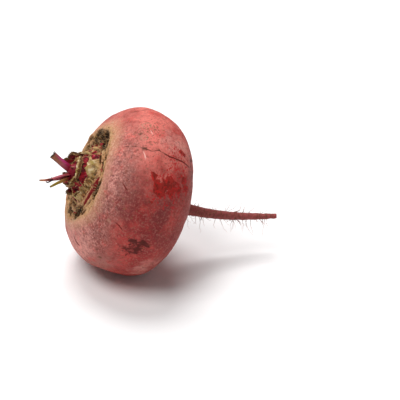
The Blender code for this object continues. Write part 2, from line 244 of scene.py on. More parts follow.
# %% The floor, the lights and the camera
FRAME_PIXELS = 400
MM_PER_PIXEL = 0.4524
CAMERA_DISTANCE = 800.0
CAMERA_AZIMUTH = math.radians(-10.2)
CAMERA_ELEVATION = math.radians(27.0)
ORIGIN_IN_PHOTO = (122.2, 187.5)
SENSOR = 36.0
FLOOR_SIDE = 6.0
LIGHT_AIM = (0.0, 0.0, 0.04)
LIGHT_SIZE = 0.60
# Each softbox: its place in metres and its power in watts.
SOFTBOXES = {
    "back_softbox": ((0.0, 0.42, 0.95), 8.0),
    "left_softbox": ((-0.47, -0.17, 0.91), 6.3),
}
ROOM_LIGHT = 0.185


def add_camera():
    """A long lens, turned so that the growth frame's origin falls on its pixel of the photograph."""
    az, el = CAMERA_AZIMUTH, CAMERA_ELEVATION
    back = Vector((math.sin(az) * math.cos(el), -math.cos(az) * math.cos(el), math.sin(el)))
    right = Vector((math.cos(az), math.sin(az), 0.0))
    up = back.cross(right)
    focal_pixels = CAMERA_DISTANCE / MM_PER_PIXEL
    aside = ORIGIN_IN_PHOTO[0] - FRAME_PIXELS / 2
    above = FRAME_PIXELS / 2 - ORIGIN_IN_PHOTO[1]
    seen_along = Vector((aside, above, -focal_pixels))
    turn = seen_along.rotation_difference(Vector((0.0, 0.0, -1.0))).to_matrix()
    axes = Matrix((right, up, back)).transposed() @ turn
    data = bpy.data.cameras.new("camera")
    data.sensor_width = SENSOR
    data.lens = 0.5 * SENSOR * focal_pixels / (FRAME_PIXELS / 2)
    data.clip_start = 0.01
    camera = new_object("camera", data)
    place = Vector(GROWTH_ORIGIN * MM) + back * CAMERA_DISTANCE * MM
    camera.matrix_world = Matrix.Translation(place) @ axes.to_4x4()
    bpy.context.scene.camera = camera
    return camera


def add_softbox(name, place, watts):
    """A round area light that looks at the beetroot."""
    data = bpy.data.lights.new(name, "AREA")
    data.shape = "DISK"
    data.size = LIGHT_SIZE
    data.energy = watts
    light = new_object(name, data)
    light.location = place
    light.rotation_euler = (Vector(LIGHT_AIM) - Vector(place)).to_track_quat("-Z", "Y").to_euler()


def add_floor():
    """A wide plane of matt white paper."""
    bpy.ops.mesh.primitive_plane_add(size=FLOOR_SIDE, location=(0.0, 0.0, 0.0))
    floor = bpy.context.object
    floor.name = "floor"
    paper = bpy.data.materials.new("white_sweep_paper")
    paper.use_nodes = True
    shader = paper.node_tree.nodes["Principled BSDF"]
    shader.inputs["Base Color"].default_value = linear("#FBFAFA")
    shader.inputs["Roughness"].default_value = 0.9
    shader.inputs["Specular IOR Level"].default_value = 0.2
    floor.data.materials.append(paper)


camera = add_camera()
add_floor()
for name, (place, watts) in SOFTBOXES.items():
    add_softbox(name, place, watts)
world = bpy.data.worlds.new("white_room")
world.use_nodes = True
world.node_tree.nodes["Background"].inputs["Color"].default_value = linear("#FFFFFF")
world.node_tree.nodes["Background"].inputs["Strength"].default_value = ROOM_LIGHT
bpy.context.scene.world = world
bpy.context.scene.view_settings.view_transform = "Standard"
print("lens in mm:", round(camera.data.lens, 1))

# %% [markdown]
# ## The root's form
#
# The swollen root is a turned form that grew uneven: a flat crown disc with a low cone in its middle, a
# shoulder, a widest section, and a blunter root end that runs out into the tail. A sculpted blob could
# look like it from one side only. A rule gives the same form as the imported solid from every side: two
# superellipses turned about the growth axis, then moved by slow swellings, furrows and scars. It is
# drawn as rings of points, close where the crown needs it and halved where the rings grow small.

# %% The root's driving dimensions, in millimetres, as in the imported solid
ROOT_RADIUS = 37.7
CROWN_RISE = 18.3
CROWN_DISC_RADIUS = 16.0
SHOULDER_POWER = 1.85
ROOT_DEPTH = 26.9
ROOT_POWER = 3.6
LOW_SIDE_FULLNESS = 1.3
EQUATOR_SLANT = -0.025
SEAT_RADIUS = 12.0
SEAT_TOP_RADIUS = 3.5
SEAT_RISE = 4.6
TAIL_RADIUS = 2.7
TAIL_TIP_RADIUS = 1.1
TAIL_LENGTH = 50.0
TAIL_OVERLAP = 1.2
TAIL_START = -ROOT_DEPTH + TAIL_OVERLAP
TAIL_SWING = 11.0
TAIL_ASIDE = 3.0
FLARE_RADIUS = 8.5
FLARE_FADE = 2.2
COLUMNS = 384
print("widest across, in mm:", 2 * ROOT_RADIUS)

# %% Curves that the rings follow


def seat_height(radius):
    """The crown's low cone, on which the leaf bases stand."""
    fall = (radius - SEAT_TOP_RADIUS) / (SEAT_RADIUS - SEAT_TOP_RADIUS)
    return CROWN_RISE + SEAT_RISE * (1.0 - np.clip(fall, 0.0, 1.0))


def evenly(curve, spacing):
    """Parameters from 0 to 1 along a curve function, spaced by the given length at each radius."""
    fine = np.linspace(0.0, 1.0, 4001)
    radius, height = curve(fine)
    step = np.hypot(np.diff(radius), np.diff(height))
    wanted = 1.0 / spacing(0.5 * (radius[1:] + radius[:-1]))
    count_up = np.concatenate(([0.0], np.cumsum(step * wanted)))
    return np.interp(np.linspace(0.0, count_up[-1], int(count_up[-1]) + 1), count_up, fine)


def shoulder_curve(t):
    """Radius and height from the crown disc's edge, at 0, to the widest section, at 1."""
    angle = 0.5 * math.pi * t
    reach = np.sin(angle) ** (2.0 / SHOULDER_POWER)
    rise = np.clip(np.cos(angle), 0.0, 1.0) ** (2.0 / SHOULDER_POWER)
    return CROWN_DISC_RADIUS + (ROOT_RADIUS - CROWN_DISC_RADIUS) * reach, CROWN_RISE * rise


def root_end_curve(t, power=ROOT_POWER):
    """Radius and height from the widest section, at 0, to where the tail's fillet starts, at 1."""
    last = np.arccos((FLARE_RADIUS / ROOT_RADIUS) ** (0.5 * power))
    angle = last * t
    reach = np.cos(angle) ** (2.0 / power)
    return ROOT_RADIUS * reach, -ROOT_DEPTH * np.sin(angle) ** (2.0 / power)


def tail_centre(share):
    """The middle of the tail at a share of its length: it bends up towards its tip, and aside."""
    swing = TAIL_SWING * share**2.2
    aside = TAIL_ASIDE * math.sin(2.8 * share) * share
    return np.array((swing, aside, TAIL_START - TAIL_LENGTH * share))


def tail_radius(depth):
    """Radius at a depth below the root end: a fillet out of it, then a slow taper to the cut tip."""
    share = (depth + TAIL_OVERLAP) / TAIL_LENGTH
    taper = TAIL_TIP_RADIUS + (TAIL_RADIUS - TAIL_TIP_RADIUS) * max(1.0 - share, 0.0) ** 0.8
    fillet = (FLARE_RADIUS - TAIL_RADIUS) * math.exp(-depth / FLARE_FADE)
    return taper + fillet


def ring_at(radius, height, columns):
    """A level ring of points round the growth axis."""
    turn = math.tau * np.arange(columns) / columns
    flat = np.stack((radius * np.cos(turn), radius * np.sin(turn)), 1)
    return np.column_stack((flat, np.broadcast_to(height, columns)))


print("shoulder from", np.round(shoulder_curve(0.0), 1), "to", np.round(shoulder_curve(1.0), 1))

# %% Rings for the body and the tail
TAIL_FINE_DEPTH = 6.0


def body_rings():
    """Rings from the crown's middle to where the tail starts, before swellings and scars."""
    # Wide steps on the cone, which the cushion hides, then close ones in the ring of scars.
    rings = [ring_at(r, seat_height(r), 96) for r in np.arange(1.5, 9.1, 1.5)]
    rings += [ring_at(r, seat_height(r), 192) for r in np.arange(9.75, 11.3, 0.75)]
    rings += [ring_at(r, seat_height(r), COLUMNS) for r in np.arange(11.6, CROWN_DISC_RADIUS, 0.27)]
    for t in evenly(shoulder_curve, lambda r: np.interp(r, (16.0, 25.0, 28.0), (0.27, 0.32, 0.58))):
        radius, height = shoulder_curve(t)
        rings.append(ring_at(radius, height, COLUMNS))
    turn = math.tau * np.arange(COLUMNS) / COLUMNS
    power = ROOT_POWER - LOW_SIDE_FULLNESS * np.cos(turn)
    for t in evenly(root_end_curve, lambda r: np.full_like(r, 0.62))[1:]:
        radius, height = root_end_curve(t, power)
        ring = ring_at(radius, height, COLUMNS)
        thinning = 1 if radius.min() > 20.0 else 2 if radius.min() > 11.0 else 4
        rings.append(ring[::thinning])
    return rings


def tail_rings():
    """Rings square to the tail's bent middle line, wider apart past its fillet."""
    rings = []
    depth = 0.25
    while depth < TAIL_LENGTH - TAIL_OVERLAP:
        share = (depth + TAIL_OVERLAP) / TAIL_LENGTH
        ahead = tail_centre(share + 0.01) - tail_centre(share - 0.01)
        ahead /= np.linalg.norm(ahead)
        side = np.cross((0.0, 1.0, 0.0), -ahead)
        side /= np.linalg.norm(side)
        other = np.cross(-ahead, side)
        columns = 96 if depth < TAIL_FINE_DEPTH else 48
        turn = math.tau * np.arange(columns) / columns
        radius = tail_radius(depth)
        flat = np.cos(turn)[:, None] * side + np.sin(turn)[:, None] * other
        rings.append(tail_centre(share) + radius * flat)
        depth += 0.3 if depth < TAIL_FINE_DEPTH else 0.36
    return rings


rings = body_rings() + tail_rings()
root_points, root_faces = close_rings(
    rings, (0.0, 0.0, float(seat_height(0.0))), tail_centre(1.0) + (0.0, 0.0, 0.2))
print("the root has", len(root_points), "points and", len(root_faces), "faces")

# %% [markdown]
# ## The grown unevenness
#
# Nothing grows truly round. Slow swellings, two furrows where the side roots sit, a hollow ring round
# the crown's cone, a corky collar and the scars of old leaves are all added by formula. The slow forms
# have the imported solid's values, and the scars keep close to its own. On the side that the photograph
# doesn't show, the scars follow the golden angle, as leaves do.

# %% The collar, the hollow ring, the furrows and the table of scars
MOAT_RADIUS, MOAT_WIDTH, MOAT_DEPTH = 17.0, 3.4, 1.1
COLLAR_RADIUS, COLLAR_WIDTH, COLLAR_RISE = 23.6, 1.9, 0.8
COLLAR_HIGH_SIDE = math.radians(-75.0)
FURROW_ANGLES = (100.0, -80.0)
FURROW_HALF_WIDTH = 0.16
FURROW_DEPTH = 0.9
GUESSED_SCARS = 26

# Angle in degrees, then radius, half width, half depth, lip, pit and inward bend in millimetres, then
# how much raw crimson tissue and how much dark dirt shows in it.
SHOWN_SCARS = {
    "top_patch": (0.0, 18.8, 4.4, 4.0, 0.5, 1.8, 0.0, 0.0, 1.0),
    "top_patch_left": (29.0, 18.6, 4.8, 3.2, 0.3, 0.9, 0.0, 0.0, 1.0),
    "top_inner": (28.0, 14.6, 3.0, 1.1, 1.0, 1.2, 0.8, 1.0, 0.0),
    "top_inner_aside": (-20.0, 14.4, 2.2, 1.0, 0.9, 0.9, 0.8, 0.6, 0.0),
    "crimson_pit": (4.0, 14.2, 1.3, 0.9, 0.6, 1.2, 0.0, 1.0, 0.0),
    "crimson_pit_out": (12.0, 16.0, 1.1, 0.8, 0.5, 1.0, 0.0, 1.0, 0.0),
    "long_slit": (-97.0, 14.9, 7.6, 1.05, 0.6, 2.2, -0.5, 1.0, 0.0),
    "outer_pit": (-83.0, 18.7, 3.8, 2.7, 0.4, 1.5, -0.3, 0.0, 1.0),
    "low_patch": (-146.0, 17.4, 4.0, 2.9, 0.7, 1.8, 0.4, 0.3, 1.0),
    "low_slit": (-176.0, 14.8, 2.8, 1.0, 0.6, 1.5, 0.8, 1.0, 0.0),
    "side_scar": (-46.0, 17.0, 2.6, 1.2, 0.5, 0.9, 0.8, 0.5, 0.0),
}
SCAR_NAMES = ("angle", "radius", "half_width", "half_depth", "lip", "pit", "bend", "raw", "dirt")
print("scars that show:", len(SHOWN_SCARS))

# %% Swellings, furrows and leaf scars, as formulas


def leaf_scars():
    """The scars that show, and guessed ones on the side that doesn't."""
    scars = []
    for values in SHOWN_SCARS.values():
        scar = dict(zip(SCAR_NAMES, values))
        scar["angle"] = math.radians(scar["angle"])
        scars.append(scar)
    draw = random.Random(11)
    colours = random.Random(12)
    for number in range(GUESSED_SCARS):
        angle = math.remainder(number * GOLDEN_ANGLE, math.tau)
        share = number / (GUESSED_SCARS - 1)
        scar = {
            "angle": angle,
            "radius": 14.2 + 7.0 * share,
            "half_width": draw.uniform(2.6, 3.6),
            "half_depth": draw.uniform(1.0, 1.5),
            "lip": draw.uniform(0.6, 1.1) * (1.0 - 0.35 * share),
            "pit": draw.uniform(0.8, 1.4),
            "bend": 0.8,
            "raw": colours.choice((0.0, 0.0, 0.5, 1.0)) * (1.0 - share),
            "dirt": colours.uniform(0.1, 0.75),
        }
        if not math.radians(-170.0) < angle < math.radians(45.0):
            scars.append(scar)
    return scars


def scar_shares(scar, radius, angle):
    """How far each point lies in the scar's pit, on its outer lip and on its raw floor, from 0 to 1."""
    along = wrap(angle - scar["angle"]) * radius
    end = (along / scar["half_width"]) ** 2
    out = radius - scar["radius"] + scar["bend"] * end
    lip = np.exp(-(end**2)) * np.exp(-(((out - scar["half_depth"] - 0.5) / 0.8) ** 2))
    pit = np.exp(-((0.8 * end + (out / scar["half_depth"]) ** 2) ** 2))
    wall = np.exp(-((0.8 * end + ((out + 0.35) / (scar["half_depth"] + 0.1)) ** 2) ** 3))
    return pit, lip, wall


def lobes(angle, height):
    """Slow swellings round the root, as a share of its radius."""
    swell = 0.010 * np.cos(2.0 * angle + 0.7)
    swell += 0.007 * np.cos(3.0 * angle - 1.9 + 0.020 * height)
    return swell + 0.004 * np.cos(5.0 * angle + 0.4)


def furrows(angle, height):
    """The two shallow furrows down the root, in millimetres."""
    turns = [wrap(angle - math.radians(middle)) / FURROW_HALF_WIDTH for middle in FURROW_ANGLES]
    return FURROW_DEPTH * sum(np.exp(-(turn**2)) for turn in turns) * smooth_step(4.0, -18.0, height)


scars = leaf_scars()
print("scars in all:", len(scars))

# %% Grow the root unevenly
x, y, z = root_points.T
radius = np.hypot(x, y)
angle = np.arctan2(y, x)
on_crown = (z > 8.0) & (radius > 0.1)
open_ring = smooth_step(SEAT_RADIUS + 0.2, SEAT_RADIUS + 1.4, radius) * on_crown
pits = np.zeros_like(z)
lips = np.zeros_like(z)
raw = np.zeros_like(z)
dirt = np.zeros_like(z)
for scar in scars:
    pit, lip, wall = scar_shares(scar, radius, angle)
    pits += scar["pit"] * pit
    lips += scar["lip"] * lip
    raw = np.maximum(raw, scar["raw"] * wall)
    dirt = np.maximum(dirt, scar["dirt"] * pit)
wander = COLLAR_RADIUS + 0.9 * np.sin(3.0 * angle + 0.5)
fullness = 0.5 + 0.5 * np.cos(angle - COLLAR_HIGH_SIDE)
collar = COLLAR_RISE * fullness * np.exp(-(((radius - wander) / COLLAR_WIDTH) ** 2))
moat = MOAT_DEPTH * np.exp(-(((radius - MOAT_RADIUS) / MOAT_WIDTH) ** 2))
body = smooth_step(SEAT_RADIUS, 0.75 * ROOT_RADIUS, radius)
widening = radius * lobes(angle, z) * body - furrows(angle, z) * body
slant = EQUATOR_SLANT * x * (1.0 - np.clip(z / CROWN_RISE, 0.0, 1.0) ** 2) * body
factor = 1.0 + widening / np.maximum(radius, 0.1)
lift = slant + (lips - pits - moat + collar) * open_ring
grown = np.column_stack((x * factor, y * factor, z + lift))
raw *= open_ring
dirt *= open_ring
print("deepest pit in mm:", round(float((lips - pits - moat).min()), 2))

# %% [markdown]
# ## Fine relief
#
# Close up the skin is not smooth: it has shallow dents, fine wrinkles that run round the root and get
# rougher towards the tail, and in the crown's ring torn, stringy cork. Noises of real sizes move each
# point along its normal. The cork's noise is stretched round the ring, as the torn leaf bases are.

# %% Move the points and write the masks that the skin's material reads
root_piece = make_mesh("beet_root", grown, root_faces)
normals = point_normals(root_piece)
# Dents of 14 and 4.5 mm, wrinkles 0.9 mm apart, and torn cork of 1.5 and 0.9 mm, deeper where it is dirty.
dents = 0.30 * grain(grown, 14.0) + 0.10 * grain(grown, 4.5, 3, 7.0)
rings_seen = grown * (0.18, 0.18, 1.0)
wrinkles = 0.05 * grain(rings_seen, 0.9, 2, 3.0) * (0.6 + smooth_step(-8.0, -27.0, z) * 1.6)
round_ring = np.column_stack((angle * 17.0 * 0.35, radius * 1.2, z * 0.4))
torn = 0.26 * grain(round_ring, 1.5, 3, 11.0) + 0.14 * grain(grown, 0.9, 2, 5.0)
torn *= 1.0 + 1.4 * dirt
# The cork ends at an uneven edge, a little outside the collar.
cork_edge = 23.7 + 1.3 * np.cos(4.0 * (angle + math.radians(102.0)))
cork_edge += 2.0 * np.clip(np.cos(angle - math.radians(15.0)), 0.0, 1.0) ** 6
cork_field = np.where(z > 8.0, cork_edge - radius, -9.0)
torn_share = smooth_step(-0.5, 3.5, cork_field) * open_ring
below = np.clip(-ROOT_DEPTH - z, 0.0, 100.0)
tail_share = smooth_step(0.5, 9.0, below)
moved = dents * (1.0 - tail_share) * body + wrinkles + torn * torn_share
moved += 0.12 * grain(grown * (1.0, 1.0, 0.25), 0.9, 2, 2.0) * tail_share
grown += normals * moved[:, None]
placed = laid_down(grown)
placed[:, 2] = np.maximum(placed[:, 2], 0.0)
write_points(root_piece, placed)
outward(root_piece)
print("root box in mm:", (placed.min(0) * 1000).round(1), (placed.max(0) * 1000).round(1))

# %% [markdown]
# ## Marks on the skin
#
# The skin carries marks of its own: a greyish mauve bloom on the shoulder, a scraped patch where the
# red flesh shows, a dark healed crack, a smudge low down. A mark with a sharp edge is stored as the
# distance to that edge in millimetres, because a distance stays smooth between points and the material
# can cut it sharply. A soft one is stored as the share that it covers.

# %% Patches, by their corners
# The corners of each patch: degrees round the root and height in millimetres, in the growth frame.
SCRAPES = {
    "triangle": ((-51.7, 3.3), (-53.1, -0.5), (-57.7, 1.1)),
    "left_flake": ((-57.9, 0.8), (-54.2, -3.4), (-58.3, -5.6), (-64.4, -5.9), (-66.8, -3.0),
                   (-64.8, -0.6)),
    "middle_flake": ((-55.7, -3.9), (-49.7, -5.8), (-51.6, -7.6), (-59.2, -9.3), (-64.6, -9.7),
                     (-62.7, -6.5)),
    "right_flake": ((-52.8, -8.8), (-53.6, -10.5), (-56.0, -12.7), (-61.3, -12.2), (-59.0, -9.8)),
    "above_crack": ((-28.0, -9.6), (-28.8, -12.8), (-31.0, -12.0), (-30.6, -9.2)),
    "small_flake": ((-70.2, 0.6), (-70.4, -1.9), (-72.7, -1.5)),
    "edge_flake": ((-47.8, -11.5), (-47.8, -13.9), (-52.7, -13.3)),
    "low_edge_flake": ((-52.4, -13.9), (-51.6, -17.2), (-56.0, -16.5), (-55.7, -14.5)),
    "far_flake": ((110.0, -3.0), (117.0, -2.0), (122.0, -5.0), (116.0, -5.6)),
    "far_flake_low": ((113.0, -7.4), (119.0, -6.6), (121.0, -9.0)),
    "back_flake": ((172.0, 5.0), (178.0, 6.0), (176.0, 3.0)),
}
FLECKED = {
    "round_the_scrape": ((-40.0, -3.0), (-33.0, -15.0), (-52.0, -19.0), (-74.0, -12.0), (-70.0, 2.0)),
    "by_the_crack": ((-25.0, -5.0), (-26.0, -15.0), (-41.0, -15.0), (-39.0, -2.0)),
    "far_flecks": ((100.0, 2.0), (132.0, 3.0), (134.0, -12.0), (104.0, -13.0)),
    "back_flecks": ((164.0, 9.0), (-172.0, 8.0), (-174.0, -2.0), (168.0, -1.0)),
}
SMUDGES = {
    "low_smudge": ((-101.5, -0.6), (-99.0, -4.0), (-100.0, -9.5), (-107.0, -9.5), (-113.5, -7.5),
                   (-109.0, -3.0)),
    "low_streak": ((-110.2, 1.0), (-108.7, 0.1), (-112.0, -5.5), (-116.0, -5.3)),
    # A dark line along the edge: partly worn skin, partly painted shadow in the gap at that edge.
    "worn_and_shaded_edge": ((-24.0, -16.5), (-24.0, -18.0), (-56.0, -21.5), (-56.0, -20.5)),
    "under_smudge": ((156.0, -11.0), (166.0, -9.0), (168.0, -13.0)),
}
FRECKLES = {
    "sunny_side": ((-10.0, 9.0), (-10.0, 2.0), (-26.0, -1.0), (-32.0, 5.0), (-24.0, 11.0)),
    "far_side": ((72.0, 6.0), (96.0, 7.0), (98.0, -6.0), (74.0, -5.0)),
    "under_side": ((-168.0, 5.0), (-152.0, 6.0), (-150.0, -3.0), (-170.0, -2.0)),
}
BLOOMS_AND_SHADE = {
    "shoulder": ((-48.0, 15.0), (-55.0, 6.0), (-74.0, 0.0), (-96.0, 2.0), (-96.0, 15.0)),
    "low_shoulder": ((-88.0, 14.0), (-91.0, 6.0), (-104.0, 9.0), (-124.0, 13.0)),
    "near_side": ((-66.0, -2.0), (-62.0, -14.0), (-100.0, -15.0), (-104.0, -4.0), (-84.0, 0.0)),
    "far_shoulder": ((34.0, 13.0), (40.0, -2.0), (84.0, -4.0), (90.0, 14.0)),
    "far_low": ((96.0, 12.0), (104.0, -4.0), (134.0, -8.0), (138.0, 12.0)),
    "back": ((150.0, 6.0), (146.0, -14.0), (-158.0, -14.0), (-156.0, 4.0)),
    "root_end_far": ((20.0, -20.0), (30.0, -27.0), (120.0, -27.0), (110.0, -18.0)),
    # The last two patches, low_right and near_root_end, are painted shade: they darken the lower near
    # side.
    "low_right": ((-94.0, -7.0), (-90.0, -18.0), (-128.0, -20.0), (-136.0, -9.0), (-114.0, -10.0)),
    "near_root_end": ((-56.0, -16.0), (-62.0, -26.0), (-128.0, -26.0), (-132.0, -15.0)),
}
# Redder bands. Those on the lower near side, low_band, near_low and below, are painted shade.
RUDDY_AND_SHADE = {
    "low_band": ((-118.0, 13.0), (-102.0, 5.0), (-106.0, -5.0), (-128.0, -2.0), (-130.0, 8.0)),
    "near_low": ((-74.0, 5.0), (-80.0, -8.0), (-100.0, -10.0), (-96.0, 4.0)),
    "below": ((-104.0, -4.0), (-104.0, -16.0), (-150.0, -16.0), (-146.0, -4.0)),
    "middle": ((-42.0, 2.0), (-46.0, -6.0), (-66.0, 0.0), (-60.0, 6.0)),
    "past_the_crack": ((-38.0, -6.0), (-34.0, -19.0), (-68.0, -20.0), (-64.0, -8.0)),
    "top": ((16.0, 13.0), (16.0, 8.0), (-8.0, 8.0), (-4.0, 12.0)),
    "far": ((60.0, 4.0), (66.0, -14.0), (110.0, -14.0), (104.0, 2.0)),
    "back": ((150.0, -2.0), (146.0, -18.0), (-176.0, -18.0), (-178.0, -4.0)),
}
# Pale pink places, partly painted light where the sides catch the most light.
PALE_PINK_AND_LIGHT = {
    "under_crown": ((-118.0, 17.0), (-124.0, 10.0), (-150.0, 6.0), (-178.0, 8.0), (-178.0, 18.0)),
    "upper_right": ((-19.0, 0.0), (-15.0, -11.0), (-28.0, -16.0), (-35.0, -8.0), (-31.0, 1.0)),
    "under_right": ((-118.0, -12.0), (-112.0, -20.0), (-142.0, -20.0), (-144.0, -12.0)),
    "near_collar": ((-44.0, 18.0), (-46.0, 14.0), (-74.0, 13.0), (-74.0, 18.0)),
    "far_collar": ((80.0, 18.0), (84.0, 12.0), (130.0, 12.0), (128.0, 18.0)),
}
print("patches:", sum(map(len, (SCRAPES, FLECKED, SMUDGES, FRECKLES, BLOOMS_AND_SHADE, RUDDY_AND_SHADE, PALE_PINK_AND_LIGHT))))

# %% Spots, rings and scratches
# Each spot or ring: degrees, height and radius.
SPOTS = {
    "upper_knot": (-35.7, 7.2, 1.2),
    "lower_knot": (-35.1, 1.5, 0.75),
    "upper_dots": (-22.3, 9.0, 0.9),
    "middle_dots": (-30.0, 5.5, 0.7),
    "under_crown_dot": (-147.0, 9.5, 0.7),
    "under_crown_dot_low": (-146.6, 7.2, 0.6),
    "near_dot": (-131.6, 4.6, 1.0),
    "near_dot_up": (-126.2, 7.9, 0.6),
    "near_dot_aside": (-124.4, 5.4, 0.6),
    "far_dot": (88.0, 4.0, 1.0),
}
RINGS = {
    "ring_mark": (-14.0, 6.6, 1.7),
    "ring_mark_low": (-26.4, 7.7, 1.2),
    "lichen": (-96.9, 11.0, 0.6),
    "far_ring": (76.0, 2.0, 1.5),
}
# Each scratch: its width in millimetres, then the corners of its line, in degrees and millimetres.
SCRATCHES = {
    "healed_crack": (0.4, ((-34.6, 9.2), (-35.7, 7.2), (-37.1, 4.3), (-35.5, 1.5), (-36.9, -2.2))),
    "open_crack": (0.65, ((-35.9, 0.2), (-36.6, -1.3), (-37.5, -3.9), (-37.0, -7.6), (-36.3, -11.0),
                          (-36.1, -16.5))),
    "shoulder_line": (0.38, ((-32.6, 14.8), (-33.2, 11.4), (-34.6, 9.0))),
    "short_scratch": (0.45, ((-64.6, 12.2), (-67.5, 10.8), (-70.2, 9.2))),
    "under_crown": (0.7, ((-154.5, 15.2), (-150.6, 13.4), (-146.2, 11.9))),
    "low_nick": (0.45, ((-94.8, 9.0), (-95.4, 6.8), (-97.4, 4.6))),
    "top_arc": (0.45, ((10.2, 10.8), (8.6, 7.4), (10.2, 4.2), (13.2, 0.6), (17.0, -3.4))),
    "far_scratch": (0.4, ((71.0, 9.0), (66.0, 3.0), (64.0, -2.0))),
    "back_scratch": (0.4, ((150.0, 2.0), (156.0, -2.0), (158.0, -7.0))),
}
PALE_SCRATCHES = {
    "pale_nick": (0.45, ((-37.6, 7.6), (-40.4, 6.9), (-44.4, 6.1))),
    "pale_nick_up": (0.4, ((-19.0, 5.4), (-23.4, 4.4))),
    "pale_far": (0.4, ((92.0, 8.0), (97.0, 3.0))),
}
FAR_AWAY = 60.0
RING_HALF_BAND = 0.4
print("spots, rings and scratches:", len(SPOTS) + len(RINGS) + len(SCRATCHES) + len(PALE_SCRATCHES))

# %% Distances from each point of the root to them


def unrolled(corners):
    """Corners, and every point of the root, unrolled flat in millimetres about the corners' middle."""
    corners = np.array(corners, float)
    turns = np.radians(corners[:, 0])
    middle = turns[0] + wrap(turns - turns[0]).mean()
    flat = np.column_stack((wrap(turns - middle) * ROOT_RADIUS, corners[:, 1]))
    return flat, wrap(angle - middle) * ROOT_RADIUS


def patch_distance(patches, wander=0.0):
    """How far inside the nearest patch each point is; the edges wander by about so many millimetres."""
    best = np.full_like(z, -FAR_AWAY)
    for corners in patches.values():
        flat, around = unrolled(corners)
        around = around + wander * wander_round
        steps = np.roll(flat, -1, axis=0) - flat
        handed = np.sign(np.sum(flat[:, 0] * steps[:, 1] - flat[:, 1] * steps[:, 0]))
        inside = np.full_like(z, FAR_AWAY)
        for corner, step in zip(flat, steps):
            cross = step[0] * (z + wander * wander_along - corner[1]) - step[1] * (around - corner[0])
            inside = np.minimum(inside, handed * cross / np.linalg.norm(step))
        best = np.maximum(best, inside)
    return best


def spot_distance(spots, ring=False):
    """How far inside the nearest spot, or the band of the nearest ring, each point is."""
    best = np.full_like(z, -FAR_AWAY)
    for degrees, height, size in spots.values():
        away = np.hypot(wrap(angle - math.radians(degrees)) * radius, z - height)
        best = np.maximum(best, RING_HALF_BAND - np.abs(away - size) if ring else size - away)
    return best


def scratch_distances(scratches):
    """Signed distance to the nearest scratch's line, in widths, and the distance to its nearer end."""
    nearest = np.full_like(z, FAR_AWAY)
    side = np.full_like(z, FAR_AWAY)
    ends = np.full_like(z, -FAR_AWAY)
    for width, corners in scratches.values():
        flat, around = unrolled(corners)
        steps = np.diff(flat, axis=0)
        lengths = np.linalg.norm(steps, axis=1)
        for number, (corner, step, length) in enumerate(zip(flat, steps, lengths)):
            ahead = step / length
            along = (around - corner[0]) * ahead[0] + (z - corner[1]) * ahead[1]
            aside = (around - corner[0]) * ahead[1] - (z - corner[1]) * ahead[0]
            before = lengths[:number].sum() + along
            away = np.hypot(aside, np.maximum(np.maximum(-along, along - length), 0.0)) / width
            closer = away < nearest
            nearest = np.where(closer, away, nearest)
            side = np.where(closer, aside / width, side)
            ends = np.where(closer, np.minimum(before, lengths.sum() - before), ends)
    return side, ends


print("ready to measure at", len(z), "points")

# %% Store the marks at the root's points
# Two noises bend the patches' edges, round the root and along it.
wander_round = grain(grown, 3.0, 4, 21.0)
wander_along = grain(grown, 3.0, 4, 27.0)
# The frost is the dusty mauve near the crown, which reaches lower on the underside. Grainy is where its
# specks are coarse.
near_side = 0.50 + 0.50 * smooth_step(-0.5, 0.7, np.cos(angle - math.radians(-105.0)))
frost_end = 9.0 - 14.0 * smooth_step(0.5, 0.98, np.cos(angle - math.radians(-158.0)))
frost = near_side * smooth_step(frost_end - 6.0, frost_end + 6.0, z) * smooth_step(19.0, 24.0, radius)
grainy = frost * smooth_step(2.0, 12.0, z)
grainy *= 0.2 + 0.8 * smooth_step(0.30, 0.60, np.cos(angle - math.radians(-75.0)))
# Painted light: a mask for the upper side, which the material makes paler as if the light fell on it.
sunny = smooth_step(0.1, 0.9, np.cos(angle - math.radians(-8.0)))
scratch_side, scratch_ends = scratch_distances(SCRATCHES)
pale_side, pale_ends = scratch_distances(PALE_SCRATCHES)
marks = {
    "cork_field": cork_field,
    "torn": torn_share,
    "raw": raw,
    "dirt": dirt,
    "lips": np.clip(lips, 0.0, 1.0) * open_ring,
    "scrape_field": patch_distance(SCRAPES, 0.7),
    "smudge_field": patch_distance(SMUDGES, 2.2),
    "flecked": smooth_step(-1.5, 2.0, patch_distance(FLECKED, 2.0)),
    "spot_field": spot_distance(SPOTS),
    "ring_field": spot_distance(RINGS, ring=True),
    "bloom": smooth_step(-7.0, 5.0, patch_distance(BLOOMS_AND_SHADE, 3.0)),
    "frost": frost,
    "grainy": grainy,
    "freckled": smooth_step(-2.0, 2.5, patch_distance(FRECKLES)),
    "sunny": sunny,
    "root_end": smooth_step(-11.0, -19.0, z),
    "earthy": smooth_step(17.0, 5.0, radius) * smooth_step(-18.0, -24.0, z),
    "ruddy": smooth_step(-3.0, 4.0, patch_distance(RUDDY_AND_SHADE, 3.0)),
    "pale_pink": smooth_step(-2.5, 3.0, patch_distance(PALE_PINK_AND_LIGHT, 3.0)),
    "scratch_side": scratch_side,
    "scratch_ends": scratch_ends,
    # A scratch is red where it runs far from the crown, or on the near and lower side.
    "scratch_red": np.maximum(smooth_step(-0.5, -5.0, z), smooth_step(-0.8, -1.0, angle)),
    "pale_side": pale_side,
    "pale_ends": pale_ends,
    "tail": tail_share,
    # How deep each point lies in the torn cork, for painted shade in its crevices.
    "crevice": np.clip(-torn, 0.0, 1.0) * torn_share,
}
store(root_piece.data, marks)
print("marks stored:", ", ".join(marks))
